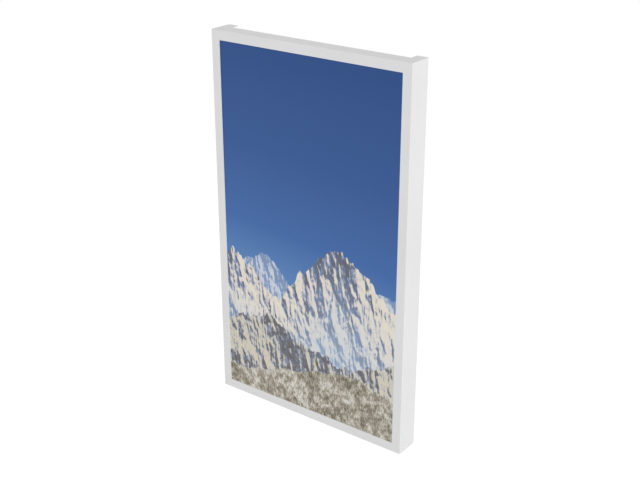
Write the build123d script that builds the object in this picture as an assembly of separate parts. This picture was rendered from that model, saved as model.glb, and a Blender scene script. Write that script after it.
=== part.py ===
from build123d import *
import math
import os

# A portrait digital photo frame that hangs on a wall: a folded steel casing lifts off two wall rails,
# and the display behind its window hangs on the same rails by two arms.
# X runs to the right as seen from the front and Z runs up.
# The picture faces -Y, and the wall is the plane Y = 0.
# The origin is on the wall, at the centre of the four wall slots. Sizes are in millimetres.

# Picture panel, 43 inch class
ACTIVE_WIDTH = 529.4
ACTIVE_HEIGHT = 941.2
CELL_MARGIN = 4.0
CELL_THICKNESS = 1.4
FILM_THICKNESS = 0.8
DIFFUSER_THICKNESS = 1.5
FILM_MARGIN = 2.6
LIGHT_GAP = 13.0
REFLECTOR_THICKNESS = 0.3
REFLECTOR_INSET = 12.0

# Light strips
STRIP_ROWS = 4
STRIP_LENGTH = 470.0
STRIP_HEIGHT = 16.0
STRIP_THICKNESS = 1.0
STRIP_EDGE_GAP = 70.0
LENSES_PER_STRIP = 5
LENS_END_GAP = 32.0
LENS_RADIUS = 8.0
LENS_HEIGHT = 5.0
LENS_TAPER = 30.0
LENS_CLEARANCE = 1.0

# Display frame parts
DISPLAY_BEZEL = 8.0
BEZEL_LIP = 1.0
BEZEL_WALL = 1.5
BEZEL_LUG_WIDTH = 18.0
BEZEL_LUG_REACH = 14.0
BEZEL_LUG_ROWS = 4
BEZEL_LUG_EDGE = 54.0
MID_FRAME_GAP = 0.3
MID_FRAME_SHELF = 1.5
MID_FRAME_SKIRT = 8.0
MID_FRAME_WALL = 1.5
TRAY_SHEET = 0.8
TRAY_GAP = 0.5
TRAY_FLANGE = 3.0
TRAY_BEAD_WIDTH = 10.0
TRAY_BEAD_LENGTH = 120.0

# Casing
SHEET = 1.5
BEND_RADIUS = 2.0
INNER_BEND = 0.5
WINDOW_OVERLAP = 2.2
LIFT_CLEARANCE = 0.8
WALL_GAP = 1.0
VENT_DEPTH = 24.0
CORNER_TAB = 30.0
SIDE_RETURN = 10.0
RETURN_RELIEF = 6.0
GASKET_THICKNESS = 0.8
GASKET_WIDTH = 9.0
GASKET_SETBACK = 3.0
DISPLAY_GAP = 0.2
BUMPER_RADIUS = 3.6
BUMPER_EDGE = 60.0

# Wall rails and their uprights
RAIL_PITCH = 460.0
RAIL_HEIGHT = 60.0
RAIL_SHEET = 2.0
RAIL_REACH = 12.0
RAIL_BEND = 1.6
RAIL_END_GAP = 7.0
LIP_HEIGHT = 8.0
WALL_SLOT_PITCH = 400.0
WALL_SLOT_LENGTH = 30.0
WALL_SLOT_RADIUS = 4.25
UPRIGHT_WIDTH = 30.0
UPRIGHT_PITCH = 320.0
UPRIGHT_LIP_GAP = 1.0
RIVET_RADIUS = 1.6
RIVET_HEAD_RADIUS = 3.0
RIVET_HEAD = 1.6
RIVET_SPACING = 16.0

# Hooks of the casing and arms of the display
UNHOOK_MARGIN = 4.0
HOOK_CLEARANCE = 0.6
HOOK_WALL_GAP = 4.0
FINGER_GAP = 1.0
HOOK_SHEET = 2.0
HOOK_INSET = 11.0
HOOK_HEAD = 16.0
HOOK_TAIL = 20.0
HOOK_FOOT = 24.0
ARM_SHEET = 2.0
ARM_WIDTH = 36.0
ARM_ROOM = 9.7
ARM_HEAD = 14.0
ARM_TAIL = 20.0
VESA_PITCH = 200.0
VESA_SCREW_RADIUS = 3.0
VESA_HEAD_RADIUS = 5.5
VESA_HEAD = 4.0
VESA_SCREW_LENGTH = 14.0
VESA_BOSS_RADIUS = 7.0
VESA_FLANGE_RADIUS = 11.0
VESA_FLANGE = 1.2
SAFETY_RADIUS = 2.5
SAFETY_HEAD_RADIUS = 4.5
SAFETY_HEAD = 3.0
SAFETY_GAP = 0.3

# Electronics behind the tray
COVER_WALL = 2.0
COVER_CORNER = 14.0
COVER_EDGE = 3.0
COVER_FOOT = 9.0
COVER_SCREW_ROWS = 4
COVER_SCREW_EDGE = 28.0
VENT_SLOTS = 13
VENT_PITCH = 8.0
VENT_WIDTH = 3.0
VENT_LENGTH = 44.0
VENT_EDGE = 88.0
SPEAKER_SLOTS = 5
STANDOFF_HEIGHT = 6.0
STANDOFF_RADIUS = 3.2
BOARD_THICKNESS = 1.6
BOARD_EDGE_GAP = 5.0
BOARD_SIDE_GAP = 8.0
BOARD_BOSS_GAP = 19.0
BOARD_HOLE_INSET = 6.0
BOARD_GAP = 20.0
COMPONENT_HEIGHT = 8.0
COMPONENT_CLEARANCE = 0.4
MAIN_BOARD_WIDTH = 180.0
MAIN_BOARD_HEIGHT = 120.0
POWER_BOARD_WIDTH = 180.0
POWER_BOARD_HEIGHT = 105.0
TCON_WIDTH = 190.0
TCON_HEIGHT = 46.0
TCON_CENTRE_Z = 175.0
SOURCE_BOARD_WIDTH = 460.0
SOURCE_BOARD_HEIGHT = 16.0
SOURCE_BOARD_THICKNESS = 1.2
SOURCE_EDGE_GAP = 22.0
HEATSINK_SIZE = 46.0
HEATSINK_BASE = 1.6
HEATSINK_FIN = 1.6
HEATSINK_FINS = 6
TRANSFORMER_SIZE = 32.0
TRANSFORMER_WINDOW = 14.0
BOBBIN_EDGE = 2.0
CAPACITOR_RADIUS = 3.6
CAPACITOR_LENGTH = 22.0
CAPACITOR_COUNT = 3
CAPACITOR_PITCH = 11.0
POWER_FIN_LENGTH = 60.0
POWER_FIN_THICKNESS = 3.0
PLUG_WIDTH = 16.0
PLUG_LENGTH = 8.0
PLUG_HEIGHT = 5.0
PLUG_GAP = 3.0
HARNESS_WIDTH = 10.0
HARNESS_THICKNESS = 2.4
HARNESS_RISE = 26.0
HARNESS_BEND = 18.0
RIBBON_WIDTH = 40.0
RIBBON_THICKNESS = 0.4
RIBBON_LIFT = 2.0
RIBBON_BEND = 3.0
RIBBON_NOTCH_GAP = 1.5
RIBBON_ENTRY = 6.0
RIBBON_SOCKET_EDGE = 2.0
SIGNAL_WIDTH = 24.0
SPEAKER_WIDTH = 44.0
SPEAKER_HEIGHT = 130.0
SPEAKER_DEPTH = 13.0
SPEAKER_EDGE = 5.0
CONE_RADIUS = 17.0
CONE_DEPTH = 5.0
CONE_TAPER = 60.0

# Ports in the lower wall of the electronics cover
PORT_DEPTH = 12.0
PORT_WALL = 0.7
PORT_PITCH = 30.0
PORT_WIDTHS = (15.0, 15.0, 13.2, 13.2, 28.0)
PORT_HEIGHTS = (6.2, 6.2, 7.2, 7.2, 3.6)
PORT_PROUD = 0.5
PORT_CLEARANCE = 0.3
IO_PLATE_SHEET = 0.8
IO_OPENING_EDGE = 3.0
INLET_WIDTH = 22.0
INLET_HEIGHT = 13.0
INLET_DEPTH = 20.0
INLET_FLANGE = 2.5
INLET_FLANGE_SHEET = 1.6
INLET_SOCKET_RADIUS = 4.4
INLET_SOCKET_PITCH = 8.0
INLET_SOCKET_DEPTH = 14.0
INLET_PIN_RADIUS = 1.15
INLET_PIN_LENGTH = 10.0
INLET_FIT = 0.2
INLET_EDGE = 8.0

# Mains rocker
SWITCH_GAP = 14.0
SWITCH_WALL = 2.0
ROCKER_HALF_WIDTH = 6.0
ROCKER_DEPTH = 8.0
ROCKER_FACE = 5.4
ROCKER_DISH = 0.8
ROCKER_HUB = 3.0
ROCKER_TILT = 7.0
ROCKER_CLEARANCE = 0.5
ROCKER_PIN_RADIUS = 1.2
ROCKER_PIN_LENGTH = 1.2
ROCKER_PIN_CLEARANCE = 0.05
ROCKER_INSET = 3.4

# Power key under the lower edge
KEY_X = 180.0
KEY_EDGE_GAP = 3.0
KEY_TRAVEL = 0.8
KEY_CAP_WIDTH = 12.0
KEY_CAP_DEPTH = 8.0
KEY_CAP_LENGTH = 4.0
KEY_CAP_EDGE = 1.0
KEY_STEM_WIDTH = 7.0
KEY_STEM_DEPTH = 5.0
KEY_STEM_CLEARANCE = 0.08
KEY_FLANGE_STEP = 1.5
KEY_FLANGE = 1.5
KEY_SLACK = 0.4
KEY_STEM_TOP = 2.0
KEY_WALL = 1.6
KEY_HOUSING_WIDTH = 30.0
KEY_HOUSING_DEPTH = 13.0
KEY_HOUSING_EDGE = 0.8
KEY_BOARD_THICKNESS = 1.2
KEY_SWITCH_SIZE = 6.0
KEY_SWITCH_HEIGHT = 3.5
KEY_LUG = 9.0
KEY_LUG_SHEET = 2.0

# Small screws, with a few flats in place of a round
SMALL_SIDES = 6
SMALL_SCREW_RADIUS = 1.4
SMALL_HEAD_RADIUS = 2.6
SMALL_HEAD = 1.5
SCREW_CLEARANCE = 0.1

# Depth levels, from the wall to the front
vesa_plane = -(RAIL_REACH + ARM_ROOM + ARM_SHEET)
cover_depth = STANDOFF_HEIGHT + BOARD_THICKNESS + COMPONENT_HEIGHT + COMPONENT_CLEARANCE + COVER_WALL
tray_back = vesa_plane - cover_depth
tray_inner = tray_back - TRAY_SHEET
reflector_back = tray_inner - STRIP_THICKNESS
reflector_front = reflector_back - REFLECTOR_THICKNESS
diffuser_back = reflector_front - LIGHT_GAP
films_back = diffuser_back - DIFFUSER_THICKNESS
shelf_back = films_back - FILM_THICKNESS
cell_back = shelf_back - MID_FRAME_SHELF
cell_front = cell_back - CELL_THICKNESS
display_front = cell_front - BEZEL_LIP
gasket_back = display_front - DISPLAY_GAP
casing_inner = gasket_back - GASKET_THICKNESS
casing_front = casing_inner - SHEET
casing_rear = -WALL_GAP
board_front = tray_back + STANDOFF_HEIGHT
board_back = board_front + BOARD_THICKNESS
cover_inner = vesa_plane - COVER_WALL
bezel_rear = tray_back + BEZEL_WALL

# Half widths and half heights
lift_travel = LIP_HEIGHT + UNHOOK_MARGIN
display_half_x = ACTIVE_WIDTH / 2 + DISPLAY_BEZEL
display_half_z = ACTIVE_HEIGHT / 2 + DISPLAY_BEZEL
casing_half_x = display_half_x + lift_travel + LIFT_CLEARANCE + SHEET
casing_half_z = display_half_z + lift_travel + LIFT_CLEARANCE + SHEET
window_half_x = ACTIVE_WIDTH / 2 - WINDOW_OVERLAP
window_half_z = ACTIVE_HEIGHT / 2 - WINDOW_OVERLAP
skirt_half_x = display_half_x - BEZEL_WALL - MID_FRAME_GAP
skirt_half_z = display_half_z - BEZEL_WALL - MID_FRAME_GAP
flange_half_x = skirt_half_x - MID_FRAME_WALL - TRAY_GAP
flange_half_z = skirt_half_z - MID_FRAME_WALL - TRAY_GAP
tray_half_x = flange_half_x - TRAY_FLANGE
tray_half_z = flange_half_z - TRAY_FLANGE
lug_screw_inset = BEZEL_WALL + BEZEL_LUG_REACH - SMALL_HEAD_RADIUS - SCREW_CLEARANCE
rail_half = casing_half_x - SIDE_RETURN - RAIL_END_GAP
main_stack = COVER_WALL + BOARD_EDGE_GAP + MAIN_BOARD_HEIGHT
power_stack = INLET_DEPTH + BOARD_EDGE_GAP + POWER_BOARD_HEIGHT
widest_board = max(MAIN_BOARD_WIDTH, POWER_BOARD_WIDTH)
cover_half_x = BOARD_GAP / 2 + widest_board + BOARD_SIDE_GAP + COVER_WALL
cover_half_z = VESA_PITCH / 2 + VESA_FLANGE_RADIUS + BOARD_BOSS_GAP + max(main_stack, power_stack)
cover_floor = -cover_half_z + COVER_WALL

# Places of the boards and of the pieces in the cover's lower wall
inlet_top = -cover_half_z + INLET_DEPTH
main_x = BOARD_GAP / 2 + MAIN_BOARD_WIDTH / 2
main_low = cover_floor + BOARD_EDGE_GAP
main_high = main_low + MAIN_BOARD_HEIGHT
power_x = -BOARD_GAP / 2 - POWER_BOARD_WIDTH / 2
power_low = inlet_top + BOARD_EDGE_GAP
power_high = power_low + POWER_BOARD_HEIGHT
tcon_low = TCON_CENTRE_Z - TCON_HEIGHT / 2
tcon_high = TCON_CENTRE_Z + TCON_HEIGHT / 2
source_high = tray_half_z - SOURCE_EDGE_GAP
source_low = source_high - SOURCE_BOARD_HEIGHT
cover_mid_y = tray_back + COVER_WALL + (cover_inner - tray_back - COVER_WALL) / 2
inlet_x = -cover_half_x + COVER_WALL + INLET_EDGE + INLET_WIDTH / 2
rocker_swing = ROCKER_HALF_WIDTH + ROCKER_CLEARANCE + ROCKER_FACE * math.radians(ROCKER_TILT)
switch_half_x = rocker_swing + SWITCH_WALL
switch_half_y = ROCKER_DEPTH / 2 + ROCKER_CLEARANCE + SWITCH_WALL
switch_x = inlet_x + INLET_WIDTH / 2 + SWITCH_GAP + switch_half_x
rocker_z = -cover_half_z + ROCKER_INSET
harness_y = board_back + PLUG_HEIGHT / 2
harness_x = BOARD_GAP / 2 + BOARD_HOLE_INSET + SMALL_HEAD_RADIUS + PLUG_GAP + PLUG_WIDTH / 2
signal_x = harness_x + PLUG_WIDTH / 2 + PLUG_GAP + SIGNAL_WIDTH / 2
speaker_x = cover_half_x - COVER_WALL - SPEAKER_EDGE - SPEAKER_WIDTH / 2

# Ends of the arms, and the depth of their safety screws
arm_low = -RAIL_PITCH / 2 - RAIL_HEIGHT / 2 - ARM_TAIL
arm_high = RAIL_PITCH / 2 + RAIL_HEIGHT / 2 + LIP_HEIGHT + ARM_HEAD
safety_y = -(RAIL_REACH + RAIL_SHEET) / 2

# Places of the power key's pieces
key_tip = -display_half_z + KEY_EDGE_GAP
key_cap_top = key_tip + KEY_CAP_LENGTH
key_wall_low = key_cap_top + KEY_TRAVEL + KEY_SLACK
key_wall_high = key_wall_low + KEY_WALL
key_stem_high = key_wall_high + KEY_FLANGE + KEY_STEM_TOP
key_switch_low = key_stem_high + KEY_TRAVEL
key_board_low = key_switch_low + KEY_SWITCH_HEIGHT
key_board_high = key_board_low + KEY_BOARD_THICKNESS
key_housing_top = key_board_high + KEY_WALL
key_y = tray_back + (KEY_HOUSING_DEPTH - KEY_WALL) / 2

SIDES = {"left": -1, "right": 1}
RAIL_LEVELS = {"upper": RAIL_PITCH / 2, "lower": -RAIL_PITCH / 2}


def block(x, y, z):
    """A box between pairs of low and high bounds."""
    size = Box(x[1] - x[0], y[1] - y[0], z[1] - z[0])
    return Pos((x[0] + x[1]) / 2, (y[0] + y[1]) / 2, (z[0] + z[1]) / 2) * size


def plate(half_x, half_z, y):
    """A centred upright plate."""
    return block((-half_x, half_x), y, (-half_z, half_z))


def rod_y(x, z, radius, y):
    """A round bar along Y."""
    return Pos(x, (y[0] + y[1]) / 2, z) * Rot(90, 0, 0) * Cylinder(radius, y[1] - y[0])


def stud_y(x, z, radius, y):
    """A small bar along Y with flats."""
    bar = extrude(RegularPolygon(radius, SMALL_SIDES), amount=(y[1] - y[0]) / 2, both=True)
    return Pos(x, (y[0] + y[1]) / 2, z) * Rot(90, 0, 0) * bar


def stud_z(x, y, radius, z):
    """A small bar along Z with flats."""
    bar = extrude(RegularPolygon(radius, SMALL_SIDES), amount=(z[1] - z[0]) / 2, both=True)
    return Pos(x, y, (z[0] + z[1]) / 2) * bar


def folded(points, sheet, bend):
    """The section of a folded sheet along its middle line."""
    return trace(FilletPolyline(*points, radius=bend), line_width=sheet)


def small_screw(x, z, seat, length):
    """A screw along Y with a six-sided head on a face that looks at the wall."""
    head = stud_y(x, z, SMALL_HEAD_RADIUS, (seat, seat + SMALL_HEAD))
    return head + stud_y(x, z, SMALL_SCREW_RADIUS, (seat - length, seat))


def screw_holes(places, y):
    """The clearance holes of small screws along Y."""
    return [stud_y(x, z, SMALL_SCREW_RADIUS + SCREW_CLEARANCE, y) for x, z in places]


def spread(count, half):
    """Evenly spaced values from -half to half."""
    return [-half + 2 * half * i / (count - 1) for i in range(count)]


def board_places(x, half_x, low, high):
    """The four fixing places of a board."""
    xs = (x - half_x + BOARD_HOLE_INSET, x + half_x - BOARD_HOLE_INSET)
    zs = (low + BOARD_HOLE_INSET, high - BOARD_HOLE_INSET)
    return [(px, pz) for px in xs for pz in zs]


# Places that repeat
main_places = board_places(main_x, MAIN_BOARD_WIDTH / 2, main_low, main_high)
power_places = board_places(power_x, POWER_BOARD_WIDTH / 2, power_low, power_high)
tcon_places = board_places(0, TCON_WIDTH / 2, tcon_low, tcon_high)
all_board_places = main_places + power_places + tcon_places
vesa_levels = (-VESA_PITCH / 2, VESA_PITCH / 2)
vesa_places = [(x, z) for x in vesa_levels for z in vesa_levels]
lug_z = spread(BEZEL_LUG_ROWS, display_half_z - BEZEL_LUG_EDGE)
lug_places = [(s * (display_half_x - lug_screw_inset), z) for s in SIDES.values() for z in lug_z]
foot_inset = COVER_FOOT / 2
foot_z = spread(COVER_SCREW_ROWS, cover_half_z - COVER_SCREW_EDGE)
foot_places = [(s * (cover_half_x + foot_inset), z) for s in SIDES.values() for z in foot_z]
port_x = [main_x + PORT_PITCH * (i - (len(PORT_WIDTHS) - 1) / 2) for i in range(len(PORT_WIDTHS))]
strip_z = spread(STRIP_ROWS, tray_half_z - STRIP_EDGE_GAP)
lens_x = spread(LENSES_PER_STRIP, STRIP_LENGTH / 2 - LENS_END_GAP)
key_lug_x = [KEY_X + s * (KEY_HOUSING_WIDTH + KEY_LUG) / 2 for s in SIDES.values()]
key_lug_z = (key_wall_low + key_housing_top) / 2
key_lug_places = [(x, key_lug_z) for x in key_lug_x]
io_x = (
    port_x[0] - PORT_WIDTHS[0] / 2 - IO_OPENING_EDGE,
    port_x[-1] + PORT_WIDTHS[-1] / 2 + IO_OPENING_EDGE,
)


def casing_shell():
    """The folded casing: picture window, four walls, rear returns and vent cut-outs."""
    outer = plate(casing_half_x, casing_half_z, (casing_front, casing_rear))
    bends = outer.faces().sort_by(Axis.Y)[0].edges() + outer.edges().filter_by(Axis.Y)
    bends += outer.faces().sort_by(Axis.Y)[-1].edges().filter_by(Axis.Z)
    outer = fillet(bends, BEND_RADIUS)
    inner_x = casing_half_x - SHEET
    inner_z = casing_half_z - SHEET
    cavity = plate(inner_x, inner_z, (casing_inner, casing_rear - SHEET))
    corners = cavity.faces().sort_by(Axis.Y)[0].edges() + cavity.edges().filter_by(Axis.Y)
    cavity = chamfer(corners, INNER_BEND)
    past = casing_rear + SHEET
    mouth = plate(casing_half_x - SIDE_RETURN, inner_z, (casing_rear - 2 * SHEET, past))
    relief = plate(inner_x, inner_z, (casing_rear - 2 * SHEET, past))
    relief -= plate(casing_half_x, inner_z - RETURN_RELIEF, (casing_rear - 2 * SHEET, past))
    vents = plate(casing_half_x - CORNER_TAB, casing_half_z + SHEET, (casing_rear - VENT_DEPTH, past))
    window = plate(window_half_x, window_half_z, (casing_front - SHEET, casing_inner + SHEET))
    return outer - cavity - mouth - relief - vents - window


def window_gasket():
    """The foam ring between the casing and the display."""
    inner_x = window_half_x + GASKET_SETBACK
    inner_z = window_half_z + GASKET_SETBACK
    level = (casing_inner, gasket_back)
    ring = plate(inner_x + GASKET_WIDTH, inner_z + GASKET_WIDTH, level)
    return ring - plate(inner_x, inner_z, level)


def lip_cut(x, level):
    """The space a hook leaves for a rail: the rail's channel and its upright lip."""
    lip_base = level + RAIL_HEIGHT / 2
    front = -(RAIL_REACH + HOOK_CLEARANCE)
    channel_low = level - RAIL_HEIGHT / 2 - HOOK_CLEARANCE
    channel = block(x, (front, RAIL_REACH), (channel_low, lip_base + FINGER_GAP))
    behind_lip = -(RAIL_REACH - RAIL_SHEET - HOOK_CLEARANCE)
    return channel + block(x, (front, behind_lip), (lip_base, lip_base + LIP_HEIGHT))


def casing_hook(side, level):
    """A Z-folded bracket welded inside a side wall, hooked over a rail's lip."""
    blade_x = rail_half - HOOK_INSET
    foot_x = casing_half_x - SHEET - HOOK_SHEET / 2
    web_y = vesa_plane + HOOK_SHEET / 2
    outline = [
        (side * blade_x, -HOOK_WALL_GAP),
        (side * blade_x, web_y),
        (side * foot_x, web_y),
        (side * foot_x, web_y - HOOK_FOOT),
    ]
    lip_base = level + RAIL_HEIGHT / 2
    low = lip_base - HOOK_TAIL
    height = HOOK_TAIL + LIP_HEIGHT + HOOK_HEAD
    bracket = extrude(folded(outline, HOOK_SHEET, HOOK_SHEET), amount=height, dir=(0, 0, 1))
    blade = (side * blade_x - HOOK_SHEET, side * blade_x + HOOK_SHEET)
    return Pos(0, 0, low) * bracket - lip_cut(blade, level)


def wall_bumpers():
    """Rubber pads on the rear returns that keep the casing off the wall."""
    x = casing_half_x - SIDE_RETURN / 2
    z = casing_half_z - BUMPER_EDGE
    places = [(s * x, t * z) for s in (-1, 1) for t in (-1, 1)]
    return Compound([stud_y(px, pz, BUMPER_RADIUS, (casing_rear, 0)) for px, pz in places])


def rivet_places():
    """The places in X and Y of the uprights' rivets, on the flat of their tabs."""
    tab_tip = RAIL_REACH - RAIL_SHEET - UPRIGHT_LIP_GAP
    tab_root = RAIL_SHEET / 2 + RAIL_BEND
    y = -(tab_tip + tab_root) / 2
    return [(s * UPRIGHT_PITCH / 2 + t * RIVET_SPACING / 2, y) for s in (-1, 1) for t in (-1, 1)]


def wall_rail(level):
    """A folded rail with a stiffening flange below, a ledge above and an upright lip that hooks hang on."""
    low = level - RAIL_HEIGHT / 2 + RAIL_SHEET / 2
    high = level + RAIL_HEIGHT / 2 - RAIL_SHEET / 2
    web_y = -RAIL_SHEET / 2
    lip_y = -RAIL_REACH + RAIL_SHEET / 2
    lip_top = high + RAIL_SHEET / 2 + LIP_HEIGHT
    outline = [(-RAIL_REACH, low), (web_y, low), (web_y, high), (lip_y, high), (lip_y, lip_top)]
    rail = extrude(Plane.YZ * folded(outline, RAIL_SHEET, RAIL_BEND), amount=rail_half, both=True)
    slot = SlotOverall(WALL_SLOT_LENGTH, 2 * WALL_SLOT_RADIUS)
    for x in (-WALL_SLOT_PITCH / 2, WALL_SLOT_PITCH / 2):
        rail -= extrude(Plane.XZ * Pos(x, level) * slot, amount=2 * RAIL_SHEET, both=True)
    ledge = high if level < 0 else low
    for x, y in rivet_places():
        rail -= stud_z(x, y, RIVET_RADIUS, (ledge - RAIL_SHEET, ledge + RAIL_SHEET))
    return rail


def frame_upright(side):
    """A flat bar between the rails with a riveted tab at each end."""
    low = RAIL_LEVELS["lower"] + RAIL_HEIGHT / 2 + RAIL_SHEET / 2
    high = RAIL_LEVELS["upper"] - RAIL_HEIGHT / 2 - RAIL_SHEET / 2
    reach = -(RAIL_REACH - RAIL_SHEET - UPRIGHT_LIP_GAP)
    web_y = -RAIL_SHEET / 2
    outline = [(reach, low), (web_y, low), (web_y, high), (reach, high)]
    bar = extrude(Plane.YZ * folded(outline, RAIL_SHEET, RAIL_BEND), amount=UPRIGHT_WIDTH / 2, both=True)
    bar = Pos(side * UPRIGHT_PITCH / 2, 0, 0) * bar
    for x, y in rivet_places():
        if x * side > 0:
            bar -= stud_z(x, y, RIVET_RADIUS, (low - RAIL_SHEET, high + RAIL_SHEET))
    return bar


def frame_rivets():
    """Rivets through the uprights' tabs and the rails."""
    rivets = []
    for level, way in ((RAIL_LEVELS["lower"], 1), (RAIL_LEVELS["upper"], -1)):
        inside = level + way * (RAIL_HEIGHT / 2 - RAIL_SHEET)
        seat = inside + way * 2 * RAIL_SHEET
        top = seat + way * RIVET_HEAD
        for x, y in rivet_places():
            shank = stud_z(x, y, RIVET_RADIUS, sorted((inside, seat)))
            rivets.append(shank + stud_z(x, y, RIVET_HEAD_RADIUS, sorted((seat, top))))
    return Compound(rivets)


def vesa_arm(side):
    """A folded channel screwed to the display, with two pairs of hooks and an end tab."""
    x = side * VESA_PITCH / 2
    half = (ARM_WIDTH - ARM_SHEET) / 2
    web_y = vesa_plane + ARM_SHEET / 2
    outline = [(x - half, -HOOK_WALL_GAP), (x - half, web_y), (x + half, web_y), (x + half, -HOOK_WALL_GAP)]
    arm = extrude(folded(outline, ARM_SHEET, ARM_SHEET), amount=arm_high - arm_low, dir=(0, 0, 1))
    arm = Pos(0, 0, arm_low) * arm
    across = (x - ARM_WIDTH / 2, x + ARM_WIDTH / 2)
    for level in RAIL_LEVELS.values():
        arm -= lip_cut(across, level)
    tab_x = (x - half, x + half)
    arm += block(tab_x, (web_y, -HOOK_WALL_GAP), (arm_low, arm_low + ARM_SHEET))
    arm -= stud_z(x, safety_y, SAFETY_RADIUS, (arm_low - ARM_SHEET, arm_low + 2 * ARM_SHEET))
    hole_y = (vesa_plane - ARM_SHEET, vesa_plane + 2 * ARM_SHEET)
    for z in vesa_levels:
        arm -= stud_y(x, z, VESA_SCREW_RADIUS + SCREW_CLEARANCE, hole_y)
    return arm


def vesa_screws():
    """The screws that hold the arms on the display."""
    seat = vesa_plane + ARM_SHEET
    screws = []
    for x, z in vesa_places:
        head = stud_y(x, z, VESA_HEAD_RADIUS, (seat, seat + VESA_HEAD))
        screws.append(head + stud_y(x, z, VESA_SCREW_RADIUS, (seat - VESA_SCREW_LENGTH, seat)))
    return Compound(screws)


def safety_screws():
    """Screws in the arms' end tabs that stop just under the lower rail and keep the display on it."""
    tip = RAIL_LEVELS["lower"] - RAIL_HEIGHT / 2 - SAFETY_GAP
    screws = []
    for side in SIDES.values():
        x = side * VESA_PITCH / 2
        head = stud_z(x, safety_y, SAFETY_HEAD_RADIUS, (arm_low - SAFETY_HEAD, arm_low))
        screws.append(head + stud_z(x, safety_y, SAFETY_RADIUS, (arm_low, tip)))
    return Compound(screws)


def display_bezel():
    """The display's front frame, with lugs folded behind the tray."""
    level = (display_front, bezel_rear)
    frame = plate(display_half_x, display_half_z, level)
    inside = (cell_front, bezel_rear)
    frame -= plate(display_half_x - BEZEL_WALL, display_half_z - BEZEL_WALL, inside)
    frame -= plate(ACTIVE_WIDTH / 2, ACTIVE_HEIGHT / 2, level)
    inner = display_half_x - BEZEL_WALL
    for side in SIDES.values():
        for z in lug_z:
            reach = sorted((side * inner, side * (inner - BEZEL_LUG_REACH)))
            lug = (z - BEZEL_LUG_WIDTH / 2, z + BEZEL_LUG_WIDTH / 2)
            frame += block(reach, (tray_back, bezel_rear), lug)
    for hole in screw_holes(lug_places, (tray_back - BEZEL_WALL, bezel_rear + BEZEL_WALL)):
        frame -= hole
    return frame


def bezel_screws():
    """Screws through the bezel's lugs into the tray."""
    return Compound([small_screw(x, z, bezel_rear, BEZEL_WALL + TRAY_SHEET) for x, z in lug_places])


def lcd_cell():
    """The glass cell that shows the picture."""
    return plate(ACTIVE_WIDTH / 2 + CELL_MARGIN, ACTIVE_HEIGHT / 2 + CELL_MARGIN, (cell_front, cell_back))


def mid_frame():
    """The plastic frame that carries the cell in front and clamps the films behind."""
    level = (cell_back, shelf_back + MID_FRAME_SKIRT)
    frame = plate(skirt_half_x, skirt_half_z, level)
    frame -= plate(skirt_half_x - MID_FRAME_WALL, skirt_half_z - MID_FRAME_WALL, (shelf_back, level[1]))
    opening = BEZEL_LIP
    return frame - plate(ACTIVE_WIDTH / 2 + opening, ACTIVE_HEIGHT / 2 + opening, level)


def film_plate(y):
    """A loose optical sheet behind the mid frame's shelf."""
    return plate(ACTIVE_WIDTH / 2 + FILM_MARGIN, ACTIVE_HEIGHT / 2 + FILM_MARGIN, y)


def reflector_sheet():
    """The white sheet over the light strips, with a hole for each lens."""
    half_x = tray_half_x - TRAY_SHEET - REFLECTOR_INSET
    half_z = tray_half_z - TRAY_SHEET - REFLECTOR_INSET
    sheet = plate(half_x, half_z, (reflector_front, reflector_back))
    past = (reflector_front - LENS_HEIGHT, tray_inner)
    return sheet - [stud_y(x, z, LENS_RADIUS + LENS_CLEARANCE, past) for x in lens_x for z in strip_z]


def led_strips():
    """Light strips on the tray, each with tapered lenses."""
    cap = extrude(RegularPolygon(LENS_RADIUS, SMALL_SIDES), amount=LENS_HEIGHT, taper=LENS_TAPER)
    lens = Rot(90, 0, 0) * cap
    span_x = (-STRIP_LENGTH / 2, STRIP_LENGTH / 2)
    strips = []
    for z in strip_z:
        strip = block(span_x, (reflector_back, tray_inner), (z - STRIP_HEIGHT / 2, z + STRIP_HEIGHT / 2))
        strips.append(strip + [Pos(x, reflector_back, z) * lens for x in lens_x])
    return Compound(strips)


def backlight_tray():
    """The pressed steel tray, with a front flange, stiffening beads behind and holes for every screw."""
    level = (diffuser_back, tray_back)
    tray = plate(tray_half_x, tray_half_z, level)
    tray -= plate(tray_half_x - TRAY_SHEET, tray_half_z - TRAY_SHEET, (diffuser_back, tray_inner))
    flange = (diffuser_back, diffuser_back + TRAY_SHEET)
    rim = plate(flange_half_x, flange_half_z, flange)
    tray += rim - plate(tray_half_x - TRAY_SHEET, tray_half_z - TRAY_SHEET, flange)
    bead = Rot(0, 90, 0) * Cylinder(TRAY_BEAD_WIDTH / 2, TRAY_BEAD_LENGTH)
    bead = split(bead, bisect_by=Plane.XZ, keep=Keep.BOTTOM)
    bead_z = (cover_half_z + tray_half_z) / 2
    for x in (-TRAY_BEAD_LENGTH, TRAY_BEAD_LENGTH):
        for z in (-bead_z, bead_z):
            tray += Pos(x, tray_back, z) * bead
    places = lug_places + foot_places + key_lug_places
    return tray - screw_holes(places, (tray_inner - TRAY_SHEET, tray_back + TRAY_SHEET))


def vesa_bosses():
    """Threaded hexagonal sleeves swaged to the tray, level with the cover's back."""
    bosses = []
    for x, z in vesa_places:
        boss = stud_y(x, z, VESA_BOSS_RADIUS, (tray_back, vesa_plane))
        boss += stud_y(x, z, VESA_FLANGE_RADIUS, (tray_back, tray_back + VESA_FLANGE))
        bosses.append(boss - stud_y(x, z, VESA_SCREW_RADIUS, (tray_back, vesa_plane)))
    return Compound(bosses)


def circuit_board(x, half_x, low, high, places):
    """A bare circuit board on standoffs."""
    board = block((x - half_x, x + half_x), (board_front, board_back), (low, high))
    return board - screw_holes(places, (board_front, board_back))


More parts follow.
